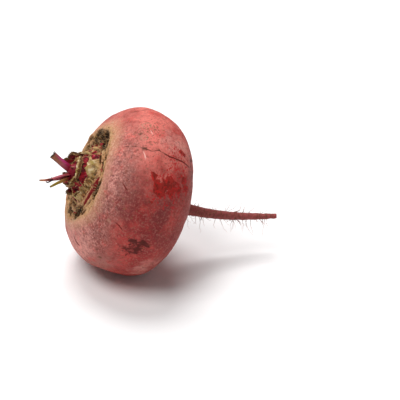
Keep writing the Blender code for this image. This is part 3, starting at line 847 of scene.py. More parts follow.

# %% [markdown]
# ## The skin's material
#
# Raw beetroot skin is a thin corky periderm: dull, dusty and finely speckled, salmon red where it is
# clean and greyish mauve where the bloom is thick. One photograph wrapped round it would fit one side
# only. So it is painted in layers, as a painter would: each layer is a noise with a feature size in
# millimetres, kept where it is high, times a mask from the mesh. The real specks look no wider than a
# pixel of the photograph, 0.45 mm. Here they are about 1 mm, because a finer noise blurs away in a
# render of that size. The bump comes from a finer noise and the wrinkles.
# Some layers are painted light and shade: the paler upper side, pale pink where the sides catch the most
# light, and darker red and mauve on the lower near side.

# %% The skin's table of layers
# Each layer: colour, feature size in mm, octaves, stretch along the growth axis, where the noise
# starts and ends to show, the most it covers, and its mask, if it has one.
SKIN_CLEAN = "#C64B44"
SKIN_LAYERS = [
    ("#9C3236", 9.0, 3, 1.0, 0.48, 0.66, 0.25),  # slow darker clouds
    ("#A82E2A", 1.6, 3, 4.0, 0.50, 0.66, 0.35),  # red streaks along the axis
    # Painted light: the upper side is made paler where the light falls on it.
    ("#E88275", 12.0, 4, 1.0, 0.38, 0.58, 0.70, "sunny"),  # the paler upper side
    # Dark mauve bloom, and painted shade low on the near side.
    ("#6C2427", 6.0, 4, 1.0, 0.28, 0.56, 0.85, "bloom"),  # dark mauve bloom
    ("#9C6C62", 5.0, 3, 1.0, 0.25, 0.55, 0.80, "frost"),  # dusty mauve near the crown
    # Redder bands, and painted shade on the lower near side.
    ("#8A2021", 5.0, 4, 1.0, 0.34, 0.60, 0.60, "ruddy"),  # redder bands
    # Pale pink places, partly painted light.
    ("#E69F93", 4.0, 4, 1.0, 0.20, 0.60, 0.72, "pale_pink"),  # pale pink places
    ("#6A3436", 2.0, 4, 1.0, 0.48, 0.66, 0.62, "grainy"),  # dark blotches in the dust
    ("#98403A", 7.0, 4, 1.0, 0.34, 0.56, 0.65, "root_end"),  # the duller root end
    ("#8A4C3A", 3.0, 4, 1.0, 0.30, 0.60, 0.80, "earthy"),  # earth round the tail
    ("#4E2A1E", 1.4, 4, 0.3, 0.50, 0.64, 0.70, "earthy"),  # dark rings in it
    ("#80241F", 2.2, 4, 1.0, 0.50, 0.70, 0.40),  # dark red spots
    ("#561A18", 0.9, 4, 1.0, 0.50, 0.66, 0.52),  # fine dark specks
    ("#E2A496", 0.93, 2, 1.0, 0.50, 0.62, 0.45, "grainy"),  # light grain
    ("#6C3632", 1.25, 2, 1.0, 0.51, 0.60, 0.60, "grainy"),  # dark grain
    ("#E48C7E", 0.9, 4, 1.0, 0.48, 0.66, 0.32),  # fine light specks
    ("#7A4434", 1.1, 2, 1.0, 0.60, 0.67, 0.55),  # sparse brown dots
    ("#E8A898", 1.2, 2, 1.0, 0.62, 0.70, 0.10),  # sparse pale dots
    ("#6E4C30", 0.9, 4, 1.0, 0.54, 0.60, 0.75, "freckled"),  # freckles
]
print("skin layers:", len(SKIN_LAYERS))

# %% Shares from noise and from stored distances, and the loop that paints
TISSUE_IOR = 1.45


def growth_coordinates(tree):
    """Object coordinates turned upright and in millimetres."""
    objects = add(tree, "ShaderNodeTexCoord").outputs["Object"]
    mapped = add(tree, "ShaderNodeMapping", {
        "Vector": objects,
        "Location": Vector(GROWTH_ORIGIN * MM),
        "Rotation": (0.0, CROWN_TILT - 0.5 * math.pi, 0.0),
        "Scale": (MM, MM, MM),
    }, vector_type="TEXTURE")
    return mapped.outputs["Vector"]


def noise_mask(tree, coordinates, size, octaves, stretch, start, end, most=1.0, mask=None):
    """A noise of a real size in millimetres, kept where it is above start, as a share up to most."""
    squeezed = add(tree, "ShaderNodeVectorMath", {0: coordinates, 1: (1.0, 1.0, 1.0 / stretch)},
                   operation="MULTIPLY")
    cloud = add(tree, "ShaderNodeTexNoise", {
        "Vector": squeezed.outputs[0], "Scale": 1.0 / size, "Detail": octaves, "Roughness": 0.6})
    kept = add(tree, "ShaderNodeMapRange", {
        "Value": cloud.outputs[0], "From Min": start, "From Max": end, "To Min": 0.0, "To Max": most},
        interpolation_type="SMOOTHSTEP")
    share = kept.outputs[0]
    if mask is not None:
        where = mask
        if isinstance(mask, str):
            where = add(tree, "ShaderNodeAttribute", attribute_name=mask).outputs["Fac"]
        share = add(tree, "ShaderNodeMath", {0: share, 1: where}, operation="MULTIPLY").outputs[0]
    return share


def field_mask(tree, coordinates, name, low, high, ragged, size, most=1.0):
    """A stored distance, made ragged by noise, turned to a share that rises between two distances."""
    stored = add(tree, "ShaderNodeAttribute", attribute_name=name).outputs["Fac"]
    cloud = add(tree, "ShaderNodeTexNoise", {
        "Vector": coordinates, "Scale": 1.0 / size, "Detail": 6.0, "Roughness": 0.72})
    centred = add(tree, "ShaderNodeMath", {0: cloud.outputs[0], 1: 0.5}, operation="SUBTRACT")
    moved = add(tree, "ShaderNodeMath", {0: centred.outputs[0], 1: ragged, 2: stored},
                operation="MULTIPLY_ADD")
    risen = add(tree, "ShaderNodeMapRange", {
        "Value": moved.outputs[0], "From Min": low, "From Max": high, "To Max": most},
        interpolation_type="SMOOTHSTEP")
    return risen.outputs[0]


def painted(tree, coordinates, under, layers):
    """Lays each colour over what is under it, by its share or by the noise that its row describes."""
    for colour, *values in layers:
        share = values[0] if len(values) == 1 else noise_mask(tree, coordinates, *values)
        mixed = add(tree, "ShaderNodeMix", {0: share, 6: under, 7: linear(colour)}, data_type="RGBA")
        under = mixed.outputs[2]
    return under


def new_material(name, roughness, gloss):
    """A material for plant tissue or soil, with about the index of refraction of cellulose."""
    made = bpy.data.materials.new(name)
    made.use_nodes = True
    shader = made.node_tree.nodes["Principled BSDF"]
    shader.inputs["Roughness"].default_value = roughness
    shader.inputs["IOR"].default_value = TISSUE_IOR
    shader.inputs["Specular IOR Level"].default_value = gloss
    return made, made.node_tree, shader


print("ready to paint")

# %% Periderm, the corky skin: its first coat
periderm, tree, shader = new_material("beetroot_periderm", 0.62, 0.22)
growth = growth_coordinates(tree)
skin = painted(tree, growth, linear(SKIN_CLEAN), SKIN_LAYERS)
print("nodes after the first coat:", len(tree.nodes))

# %% Pores, wrinkles, freckles and flecks
# Pores: a dark dot in half of the cells, which are about 2 mm wide.
cells = add(tree, "ShaderNodeTexVoronoi", {"Vector": growth, "Scale": 1.0 / 2.0})
picked = add(tree, "ShaderNodeSeparateColor", {0: cells.outputs["Color"]}).outputs[0]
picked = add(tree, "ShaderNodeMath", {0: picked, 1: 0.5}, operation="GREATER_THAN").outputs[0]
dot = add(tree, "ShaderNodeMapRange", {
    "Value": cells.outputs["Distance"], "From Min": 0.16, "From Max": 0.10, "To Max": 0.75}).outputs[0]
pores = add(tree, "ShaderNodeMath", {0: dot, 1: picked}, operation="MULTIPLY").outputs[0]
wrinkle = noise_mask(tree, growth, 1.6, 3, 0.14, 0.52, 0.68, 0.25)
# After the wrinkles: tan freckles, thin pale scratches along the axis, and small red flecks.
skin = painted(tree, growth, skin, [
    ("#4E2220", pores),
    ("#8A4340", wrinkle),
    ("#8C5A3C", 1.7, 2, 1.0, 0.66, 0.72, 0.75),
    ("#E8B9A6", 0.7, 1, 9.0, 0.72, 0.80, 0.30),
    ("#BC1E22", 1.3, 3, 0.7, 0.545, 0.575, 0.85, "flecked"),
])
print("nodes after the pores and freckles:", len(tree.nodes))

# %% Scraped flesh, the smudge, ring marks and knots
scraped = field_mask(tree, growth, "scrape_field", -0.30, -0.10, 1.2, 0.9)
smudged = field_mask(tree, growth, "smudge_field", -0.8, 0.5, 3.8, 1.1)
# The red flesh, its darker and brighter streaks, the brown smudge, ring marks, and brown knots.
skin = painted(tree, growth, skin, [
    ("#9E211A", 2.0, 4, 1.0, 0.36, 0.42, 0.92, scraped),
    ("#6E1C12", 2.4, 3, 0.5, 0.50, 0.56, 0.70, scraped),
    ("#C0201C", 1.6, 4, 1.0, 0.56, 0.60, 0.75, scraped),
    ("#4C100A", 2.2, 5, 1.0, 0.34, 0.52, 0.90, smudged),
    ("#A8806A", field_mask(tree, growth, "ring_field", 0.0, 0.3, 0.6, 0.8, 0.60)),
    ("#5E3A2A", field_mask(tree, growth, "spot_field", -0.2, 0.5, 2.0, 0.7, 0.75)),
])
print("nodes after the scrapes:", len(tree.nodes))

# %% Scratches, and the healed crack


def scratch_mask(side_name, ends_name, most):
    """A line where the stored signed distance is near zero, of uneven width, fading at its ends."""
    side = add(tree, "ShaderNodeAttribute", attribute_name=side_name).outputs["Fac"]
    width = add(tree, "ShaderNodeTexNoise", {"Vector": growth, "Scale": 0.8, "Detail": 3.0}).outputs[0]
    away = add(tree, "ShaderNodeMath", {0: side}, operation="ABSOLUTE").outputs[0]
    inner = add(tree, "ShaderNodeMath", {0: width, 1: away}, operation="SUBTRACT").outputs[0]
    line = add(tree, "ShaderNodeMapRange", {"Value": inner, "From Min": -0.2, "From Max": 0.2}).outputs[0]
    ends = add(tree, "ShaderNodeAttribute", attribute_name=ends_name).outputs["Fac"]
    fading = add(tree, "ShaderNodeMapRange", {
        "Value": ends, "From Min": -0.3, "From Max": 1.5, "To Max": most}).outputs[0]
    return add(tree, "ShaderNodeMath", {0: line, 1: fading}, operation="MULTIPLY").outputs[0]


crack = scratch_mask("scratch_side", "scratch_ends", 0.9)
redness = add(tree, "ShaderNodeAttribute", attribute_name="scratch_red").outputs["Fac"]
crack_red = add(tree, "ShaderNodeMath", {0: crack, 1: redness}, operation="MULTIPLY").outputs[0]
skin = painted(tree, growth, skin, [
    ("#F0B9AC", scratch_mask("pale_side", "pale_ends", 0.8)),
    ("#4A2418", crack),
    ("#6E120E", crack_red),
])
print("nodes after the scratches:", len(tree.nodes))

# %% The tail's brown bands, the tan collar and the torn crown
tail = add(tree, "ShaderNodeAttribute", attribute_name="tail").outputs["Fac"]
tail_red = add(tree, "ShaderNodeMath", {0: tail, 1: 0.75}, operation="MULTIPLY").outputs[0]
collar_soft = field_mask(tree, growth, "cork_field", -4.5, 1.5, 5.0, 3.0)
collar_tan = add(tree, "ShaderNodeMath", {0: collar_soft, 1: 0.82}, operation="MULTIPLY").outputs[0]
crevice = add(tree, "ShaderNodeAttribute", attribute_name="crevice").outputs["Fac"]
# Painted shade: the crevices of the torn cork are darkened by their depth.
crevice_shade = add(tree, "ShaderNodeMapRange", {
    "Value": crevice, "From Min": 0.03, "From Max": 0.26, "To Max": 0.95}).outputs[0]
raw_edge = field_mask(tree, growth, "raw", 0.18, 0.42, 0.5, 0.9)
raw_red = add(tree, "ShaderNodeMath", {0: raw_edge, 1: 0.96}, operation="MULTIPLY").outputs[0]
dirt_round = field_mask(tree, growth, "dirt", 0.02, 0.30, 0.5, 1.5)
dirt_edge = field_mask(tree, growth, "dirt", 0.30, 0.70, 0.7, 1.2)
skin = painted(tree, growth, skin, [
    ("#9A4A4C", tail_red),
    ("#6E4030", 2.2, 3, 0.25, 0.46, 0.62, 0.80, "tail"),
    ("#C48C6E", collar_tan),
    ("#A06A4E", 1.5, 4, 1.0, 0.46, 0.60, 0.75, collar_tan),
    ("#DDB69C", 0.8, 3, 1.0, 0.50, 0.62, 0.55, collar_soft),
    ("#AF8455", 1.8, 3, 1.0, 0.24, 0.50, 0.85, "torn"),
    ("#D0AE80", 1.1, 3, 1.0, 0.55, 0.66, 0.70, "torn"),
    ("#6B4424", 0.9, 3, 1.0, 0.54, 0.68, 0.80, "torn"),
    ("#3A2212", crevice_shade),
    ("#D6B283", 1.3, 3, 1.0, 0.35, 0.60, 0.60, "lips"),
    ("#5C4024", 0.9, 3, 1.0, 0.28, 0.50, 0.95, dirt_round),
    ("#800816", raw_red),
    # Painted highlights: pink glints on the raw crimson.
    ("#C8404E", 0.9, 2, 1.0, 0.56, 0.68, 0.60, raw_edge),
    ("#22130A", 1.2, 4, 1.0, 0.42, 0.56, 0.92, dirt_edge),
])
print("nodes after the crown:", len(tree.nodes))

# %% Gloss and bump, and the root's place in the frame
tree.links.new(skin, shader.inputs["Base Color"])
fine = add(tree, "ShaderNodeTexNoise", {"Vector": growth, "Scale": 1.0 / 0.55, "Detail": 4.0}).outputs[0]
rough = add(tree, "ShaderNodeMapRange", {"Value": fine, "To Min": 0.50, "To Max": 0.80}).outputs[0]
tree.links.new(rough, shader.inputs["Roughness"])
lines = add(tree, "ShaderNodeMath", {0: wrinkle, 1: -0.6, 2: fine}, operation="MULTIPLY_ADD").outputs[0]
bump = add(tree, "ShaderNodeBump", {"Height": lines, "Strength": 0.75, "Distance": 0.00030})
tree.links.new(bump.outputs[0], shader.inputs["Normal"])
root_piece.data.materials.append(periderm)
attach(root_piece, "root")
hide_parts("root")
print("the root is painted and placed")

# %% [markdown]
# ## The cushion round the heart
#
# Under the cut leaf stalks the crown is a cushion of old tissue: pale knobs where young flesh was cut,
# crimson hollows between the stalk walls, brown rims. Separate lumps would look like pebbles stuck on.
# Here it is one surface over rings of points. Its height comes from a turned profile and a short table
# of lumps and hollows, whose outlines a noise bends, and the same shares tell the material what shows.

# %% The cushion's profile and its table of forms
# Angle in degrees, then radius, half sizes round and outwards, and rise in millimetres, then what shows.
CUSHION_FORMS = {
    "pale_knob": (-46.0, 10.9, 3.3, 2.0, 2.0, "cream"),
    "knob_shoulder": (-16.0, 10.6, 1.8, 1.3, 1.1, "brown"),
    "pink_bump": (-20.0, 12.3, 1.5, 0.9, 0.9, "crimson"),
    "far_bump": (16.0, 9.4, 2.0, 1.1, 1.0, "cream"),
    "crimson_valley": (-44.0, 8.5, 7.4, 1.15, -1.7, "crimson"),
    "valley_low_end": (-94.0, 8.9, 1.8, 1.0, -1.3, "crimson"),
    "valley_far_end": (40.0, 7.6, 3.2, 0.9, -1.0, "crimson"),
    "far_slot": (24.0, 11.3, 1.8, 0.8, -1.2, "crimson"),
    "far_slot_near": (0.0, 11.8, 1.2, 0.7, -1.0, "crimson"),
    "near_wall": (-90.0, 11.0, 3.4, 0.8, 1.0, "brown"),
    "near_divider": (-109.0, 8.8, 0.8, 2.0, 1.7, "brown"),
    "low_hollow": (-126.0, 8.8, 2.9, 1.6, -2.0, "crimson"),
    "left_hollow": (-171.0, 8.2, 2.8, 1.3, -1.7, "crimson"),
    "slit_wall": (-97.0, 13.7, 6.6, 0.6, -0.2, "crimson"),
    "low_crimson": (-158.0, 11.9, 2.0, 0.7, -1.0, "crimson"),
    "low_rim": (-134.0, 11.2, 4.2, 0.75, 1.2, "cream"),
    "low_divider": (-148.0, 8.4, 0.8, 2.4, 1.2, "cream"),
    "left_rim": (-174.0, 10.6, 3.0, 0.8, 0.9, "brown"),
    "back_hollow": (128.0, 8.8, 3.0, 1.1, -1.3, "crimson"),
    "back_knob": (104.0, 10.4, 3.0, 1.5, 1.4, "cream"),
    "back_rim": (146.0, 10.9, 3.4, 0.8, 1.1, "brown"),
    "back_slot": (72.0, 9.4, 2.4, 0.9, -1.1, "crimson"),
    "back_bump": (58.0, 11.0, 2.2, 1.0, 0.9, "brown"),
}
HEART_TOP = float(seat_height(0.0))
CUSHION_PROFILE = np.array([
    (0.0, HEART_TOP + 0.9), (3.6, HEART_TOP + 0.8), (4.4, HEART_TOP + 1.4), (5.4, HEART_TOP + 1.6),
    (6.4, HEART_TOP + 1.2), (7.4, 23.3), (8.8, 21.7), (10.0, 20.8), (11.0, 20.0), (12.0, 19.1),
    (13.0, 18.0), (13.9, 16.8)])
FIT_GAP = 0.3
print("lumps and hollows:", len(CUSHION_FORMS))

# %% The cushion's rings, still flat on top


def form_share(place, radius, angle):
    """1 in the middle of a lump or hollow, and 0 well outside it."""
    degrees, middle, half_round, half_out = place[:4]
    along = wrap(angle - math.radians(degrees)) * radius / half_round
    out = (radius - middle) / half_out
    return np.exp(-np.abs(along) ** 3.0 - np.abs(out) ** 3.0)


# Three bands of flat rings, finer outwards, then the underside, which follows the crown's cone.
flat_rings = [ring_at(r, 0.0, 72) for r in np.arange(0.8, 3.0, 0.7)]
flat_rings += [ring_at(r, 0.0, 144) for r in np.arange(3.3, 4.4, 0.35)]
flat_rings += [ring_at(r, 0.0, 288) for r in np.arange(4.6, 13.95, 0.17)]
under_side = [ring_at(13.6, 16.6, 288), ring_at(12.3, 17.0, 288)]
under_side += [ring_at(9.0, seat_height(9.0) + FIT_GAP, 144)]
under_side += [ring_at(r, seat_height(r) + FIT_GAP, 72) for r in (6.0, 3.5, 1.5)]
cushion_points, cushion_faces = close_rings(
    flat_rings + under_side, (0.0, 0.0, 0.0), (0.0, 0.0, HEART_TOP + FIT_GAP))
# The top's points come first, and its pole is the last point but one.
top = np.zeros(len(cushion_points), bool)
top[:sum(len(ring) for ring in flat_rings)] = True
top[-2] = True
print("cushion faces:", len(cushion_faces))

# %% Raise the cushion's lumps and sink its hollows
cx, cy = cushion_points[:, :2].T
c_radius = np.hypot(cx, cy)
c_angle = np.arctan2(cy, cx)
flat_places = np.column_stack((cx, cy, np.zeros_like(cx)))
bent_radius = c_radius + 0.75 * grain(flat_places, 2.4, 2, 3.0)
bent_angle = c_angle + 0.75 * grain(flat_places, 2.4, 2, 8.0) / np.maximum(c_radius, 2.0)
cushion_shares = {name: np.zeros_like(cx) for name in ("cream", "crimson", "brown")}
rise = np.zeros_like(cx)
for place in CUSHION_FORMS.values():
    share = form_share(place, bent_radius, bent_angle)
    rise += place[4] * share
    cushion_shares[place[5]] = np.maximum(cushion_shares[place[5]], share)
cushion_shares["crimson"] = np.maximum(cushion_shares["crimson"], smooth_step(5.0, 4.0, bent_radius))
torn_fine = 0.34 * grain(flat_places, 1.5, 3, 4.0) + 0.16 * np.abs(grain(flat_places, 0.6, 2, 6.0))
torn_wide = 0.70 * (0.4 - np.abs(grain(flat_places, 3.2, 2, 9.0)))
calm = 1.0 - 0.8 * cushion_shares["crimson"] - 0.5 * cushion_shares["cream"] * (rise > 1.0)
torn_all = (torn_fine + torn_wide) * np.clip(calm, 0.1, 1.0)
height = np.interp(c_radius, *CUSHION_PROFILE.T) + rise + torn_all
# The cushion's own edge is uneven too.
edge_wave = 0.8 * grain(np.column_stack((np.cos(c_angle), np.sin(c_angle), 0 * cx)) * 3.0, 1.0, 2, 2.0)
grown_out = 1.0 + smooth_step(10.0, 13.0, c_radius) * edge_wave / 13.0
cushion_points[top, 2] = height[top]
cushion_points[top, 0] = (cx * grown_out)[top]
cushion_points[top, 1] = (cy * grown_out)[top]
# Painted shade in the low places of the torn cushion, and painted highlight on its ridges.
cushion_shares["hollow"] = np.clip(-torn_all * 2.2 - np.minimum(rise, 0.0) * 0.5, 0.0, 1.0) * top
cushion_shares["ridge"] = np.clip(torn_all * 2.4, 0.0, 1.0) * top
cushion = make_mesh("leaf_bases_cushion", laid_down(cushion_points), cushion_faces, cushion_shares)
outward(cushion)
print("cushion height above the seat:", round(float(height.max()) - HEART_TOP, 2), "mm")

# %% [markdown]
# ## The cut leaf bases
#
# Each old leaf left a stump on the cushion: a crescent round the heart, thick in its middle, with a
# hollow inner face that is still crimson, a cut face the colour of cream, and a dry brown rim. Extruded
# slices would look like tiles, so each stump is lofted from sections that go round its outer face, over
# its cut face and down its inner face. Low dry scales, the last of older stumps, follow the same recipe
# out in the ring of scars.

# %% The table of stumps
# Angle in degrees, then radius, half width, height and thickness in millimetres, then how far it leans
# out for its height, how fresh and how dry it is, and how ragged its edge is in millimetres.
LEAF_BASES = {
    "inner_lip": (-36.0, 6.4, 6.6, 1.7, 2.8, 0.10, 0.8, 0.45, 0.6),
    "inner_lip_low": (-114.0, 6.0, 2.6, 1.7, 1.5, 0.20, 0.5, 0.55, 0.6),
    "valley_far_wall": (44.0, 8.7, 2.6, 2.4, 1.2, 0.15, 0.9, 0.50, 0.7),
    "far_tall": (66.0, 7.4, 3.0, 4.6, 1.3, 0.12, 0.7, 0.75, 1.3),
    "far_tall_left": (92.0, 7.0, 3.0, 5.4, 1.2, 0.16, 0.5, 0.80, 1.4),
    "far_horn": (50.0, 8.0, 1.5, 4.4, 0.8, 0.20, 0.2, 0.85, 1.2),
    "near_low": (-100.0, 10.3, 2.4, 1.2, 1.0, 0.30, 0.5, 0.6, 0.7),
    "low_cluster": (-130.0, 10.1, 3.6, 1.8, 1.1, 0.30, 0.5, 0.6, 0.7),
    "low_inner": (-146.0, 6.9, 3.4, 2.2, 1.3, 0.25, 0.6, 0.6, 0.8),
    "left_edge": (-175.0, 9.5, 3.0, 2.7, 1.1, 0.35, 0.5, 0.85, 1.2),
    "left_inner": (168.0, 6.6, 2.8, 2.8, 1.2, 0.30, 0.6, 0.7, 0.9),
    "left_back": (142.0, 7.4, 3.2, 3.6, 1.3, 0.30, 0.6, 0.75, 0.9),
    "back_low": (118.0, 10.2, 3.2, 1.8, 1.1, 0.35, 0.6, 0.6, 0.7),
}
print("stumps:", len(LEAF_BASES))

# %% One stump, as a loft


def stump(place, foot, seed, along_steps):
    """Rings of points across one crescent stump, and for each point what shows there."""
    angle_degrees, radius, half_width, height, thickness, lean, fresh, dry, ragged = place
    shape = random.Random(seed)
    outer = [(1.0, w) for w in np.linspace(0.0, 0.90, 9)]
    rim_out = [(0.90, 0.97), (0.74, 1.0)]
    cut = [(o, 0.985 - 0.20 * (1.0 - (o / 0.6) ** 2)) for o in np.linspace(0.5, -0.5, 6)]
    rim_in = [(-0.74, 1.0), (-0.90, 0.97)]
    inner = [(-1.0, w) for w in np.linspace(0.90, 0.0, 9)]
    section = outer + rim_out + cut + rim_in + inner
    cut_starts = len(outer) - 1
    cut_ends = len(section) - len(inner)
    bow = shape.uniform(-0.25, 0.25)
    rings = []
    where = []
    for i in range(along_steps + 1):
        s = 2.0 * i / along_steps - 1.0
        turn = math.radians(angle_degrees) + s * half_width / radius
        end = max(1.0 - abs(s) ** 3.2, 0.0)
        thick = 0.5 * thickness * (0.16 + 0.84 * end**0.6)
        torn_edge = ragged * (noise.fractal(Vector((s * 4.0, seed * 1.7, 0.0)), 0.7, 2.0, 3) * 0.9)
        tall = height * (0.30 + 0.70 * end) + torn_edge + bow * s * height
        tall = max(tall, 0.35)
        ring = []
        for number, (o, w) in enumerate(section):
            ribs = 0.13 * noise.noise(Vector((s * half_width * 1.8, o * 1.5, w * 0.7 + seed)))
            out = radius + o * thick * (1.0 - 0.25 * w) + lean * tall * w + ribs + 0.25 * o * (1.0 - end)
            up = foot(radius) + w * tall
            ring.append((out * math.cos(turn), out * math.sin(turn), up))
            is_cut = 1.0 if cut_starts <= number <= cut_ends else 0.35 * (w < 0.2)
            is_inner = 1.0 if o <= -0.9 else 0.0
            dryness = smooth_step(0.45, 0.95, w * dry + 0.1)
            where.append((is_cut * (0.30 + fresh) * (1.0 - 0.6 * dry), is_inner * fresh * (1.2 - w * dry),
                          (1.0 - is_cut) * (1.0 - is_inner), dryness))
        rings.append(np.array(ring))
    return rings, where


def stumps_piece(name, places, foot, along_steps):
    """Many stumps in one mesh, with their shares of cream, crimson, brown and dry tissue."""
    lofts = []
    for seed, place in enumerate(places):
        rings, shares = stump(place, foot, seed + 1, along_steps)
        lofts.append((close_rings(rings), shares))
    points, faces, where = joined(lofts)
    points += 0.22 * three_grains(points, 1.6, (1.0, 5.0, 9.0))
    points += 0.08 * three_grains(points, 0.6, (2.0, 6.0, 7.0))
    shares = dict(zip(("cream", "crimson", "brown", "dry"), where.T))
    made = make_mesh(name, laid_down(points), faces, shares)
    outward(made)
    return made


def foot_on_cushion(radius):
    """Height at which a stump starts, half a millimetre inside the cushion."""
    return float(np.interp(radius, *CUSHION_PROFILE.T)) - 0.5


leaf_bases = stumps_piece("leaf_bases_cut", LEAF_BASES.values(), foot_on_cushion, 44)
print("faces of the stumps:", len(leaf_bases.data.polygons))

# %% Dry scales in the ring of scars
SCALES_TRIED = 46


def crown_surface(radius):
    """Height of the crown between the cone and the collar, a little below its torn surface."""
    moat = MOAT_DEPTH * math.exp(-(((radius - MOAT_RADIUS) / MOAT_WIDTH) ** 2))
    return float(np.interp(radius, *shoulder_curve(np.linspace(0.0, 1.0, 400)))) - moat - 0.5


draw = random.Random(31)
scales = []
for number in range(SCALES_TRIED):
    share = number / (SCALES_TRIED - 1)
    degrees = math.degrees(number * GOLDEN_ANGLE) % 360.0
    scale_radius = 13.4 + 6.6 * share**0.9 + draw.uniform(-0.4, 0.4)
    # None stands in front of the long slit.
    if 235.0 < degrees < 300.0 and 13.0 < scale_radius < 18.5:
        continue
    scales.append((
        degrees, scale_radius, draw.uniform(1.2, 2.6), draw.uniform(0.7, 1.5) * (1.15 - 0.5 * share),
        draw.uniform(0.35, 0.8), draw.uniform(0.1, 0.9), draw.choice((0.0, 0.2, 0.9)) * (1.0 - share),
        draw.uniform(0.5, 1.0), draw.uniform(0.4, 0.9)))
old_scales = stumps_piece("old_leaf_scales", scales, crown_surface, 18)
print("scales:", len(scales), " faces:", len(old_scales.data.polygons))

# %% [markdown]
# ## Cork and cut tissue
#
# The stumps' material reads what shows at a point: cream on the fresh cut face, with a green tint and
# with brown dots where the veins ended, crimson in the hollows, brown fibre outside, and dark brown on
# the dry rims. Cutting and drying left it all rough, so it has little gloss.
# On the cushion it also paints shade in the hollows of the torn tissue and highlights on its ridges.

# %% Stump material
stump_material, tree, shader = new_material("dry_leaf_base_cork", 0.75, 0.25)
growth = growth_coordinates(tree)
# For each stored share: where it starts and ends to show, the most that it covers, and how it rises.
shown = {}
for name, start, end, most, rise_kind in (
        ("crimson", 0.12, 0.36, 1.0, "SMOOTHSTEP"), ("hollow", 0.05, 0.50, 0.90, "LINEAR"),
        ("ridge", 0.30, 0.80, 0.75, "LINEAR")):
    stored = add(tree, "ShaderNodeAttribute", attribute_name=name).outputs["Fac"]
    shown[name] = add(tree, "ShaderNodeMapRange", {
        "Value": stored, "From Min": start, "From Max": end, "To Max": most},
        interpolation_type=rise_kind).outputs[0]
# Tan and brown fibre, painted highlights on the ridges and the crimson, painted shade in the hollows,
# cream with its veins, raw crimson, and dry rims.
stump_colour = painted(tree, growth, linear("#A06E40"), [
    ("#6C4220", 1.2, 3, 2.0, 0.46, 0.58, 0.90),
    ("#7C6028", 2.0, 3, 1.0, 0.50, 0.62, 0.70),
    ("#5A3418", 0.9, 3, 3.0, 0.36, 0.56, 0.90, "brown"),
    ("#3A200F", 0.45, 3, 4.0, 0.50, 0.62, 0.90),
    # Painted highlight on the cushion's ridges, and painted shade in its hollows.
    ("#C6A470", shown["ridge"]),
    ("#241008", shown["hollow"]),
    ("#B09264", 1.3, 3, 1.0, 0.30, 0.46, 0.95, "cream"),
    ("#94843A", 2.2, 2, 1.0, 0.48, 0.58, 0.75, "cream"),
    ("#7A4E20", 0.9, 3, 1.0, 0.54, 0.62, 0.85, "cream"),
    ("#E6D6AE", 1.8, 3, 1.0, 0.53, 0.62, 0.80, "cream"),
    ("#8A0618", 1.6, 3, 1.0, 0.16, 0.36, 1.00, shown["crimson"]),
    ("#420208", 1.1, 2, 2.0, 0.44, 0.58, 0.90, shown["crimson"]),
    # Painted highlights: pink glints on the wet crimson.
    ("#D0566A", 0.9, 2, 1.0, 0.62, 0.70, 0.80, shown["crimson"]),
    ("#553820", 0.7, 3, 2.0, 0.34, 0.52, 1.00, "dry"),
])
tree.links.new(stump_colour, shader.inputs["Base Color"])
fibre = add(tree, "ShaderNodeTexNoise", {"Vector": growth, "Scale": 1.0 / 0.4, "Detail": 4.0}).outputs[0]
bump = add(tree, "ShaderNodeBump", {"Height": fibre, "Strength": 0.7, "Distance": 0.0003})
tree.links.new(bump.outputs[0], shader.inputs["Normal"])
for piece in (leaf_bases, cushion, old_scales):
    piece.data.materials.append(stump_material)
    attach(piece, "root")
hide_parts("leaf_bases")
print("stumps, cushion and scales are painted")

# %% [markdown]
# ## The young stalks
#
# In the heart a tuft of young leaves was cut short. Each stalk is a channel: round outside with fine
# ribs, hollow inside, satin and magenta, dry and brown where it was cut, with its rims left standing as
# thin dark horns. The same section swept along a curve makes all of them; only the widths, the torn
# ends and the colours along them differ.

# %% The table of stalks
# Corners of the middle line and radii in millimetres, how far the end is torn and the rims stand out as
# horns, how dry the stalk is and how pale its tip, and how far its channel is rolled, in radians.
HEART_STALKS = {
    "upper_stalk": {
        "points": [(0.0, 0.1, 23.4), (0.6, 0.6, 27.6), (1.9, 1.7, 32.0), (3.1, 2.6, 35.6)],
        "radii": [2.2, 1.75, 1.55, 1.7], "torn": 0.9, "horns": 1.7, "dry": 0.8, "tip": 0.0, "roll": 2.6},
    "middle_stalk": {
        "points": [(-1.7, -1.5, 23.6), (-3.4, -1.9, 27.5), (-5.2, -2.0, 30.4), (-6.9, -2.2, 33.2)],
        "radii": [1.8, 1.6, 1.3, 0.9], "torn": 0.4, "horns": 0.3, "dry": 0.15, "tip": 0.3, "roll": 0.6},
    "withered_tip": {
        "points": [(-6.2, -2.1, 32.2), (-7.8, -1.8, 35.0), (-8.9, -1.5, 37.4)],
        "radii": [0.75, 0.55, 0.4], "torn": 0.1, "horns": 0.0, "dry": 0.2, "tip": 1.0, "roll": 0.0},
    "lower_stalk": {
        "points": [(-2.3, -2.2, 24.0), (-4.6, -2.5, 27.2), (-7.2, -2.7, 29.8), (-9.9, -2.6, 31.9)],
        "radii": [1.2, 0.9, 0.75, 0.5], "torn": 0.25, "horns": 0.0, "dry": 0.1, "tip": 0.9, "green": 1.0,
        "roll": 0.3},
    "black_curl": {
        "points": [(-5.2, -2.4, 33.2), (-6.6, -2.6, 32.6), (-7.7, -3.1, 33.6), (-8.0, -3.4, 34.3),
                   (-7.6, -3.4, 34.9)],
        "radii": [0.15, 0.32, 0.32, 0.25, 0.15], "torn": 0.1, "horns": 0.0, "dry": 0.0, "tip": 0.0,
        "withered": 1.0, "roll": 0.4},
    "small_inner_stalk": {
        "points": [(1.6, -1.0, 23.6), (2.0, -1.5, 25.6), (2.1, -2.1, 27.2)],
        "radii": [1.0, 0.8, 0.5], "torn": 0.4, "horns": 0.3, "dry": 0.6, "tip": 0.2, "roll": 1.6},
}
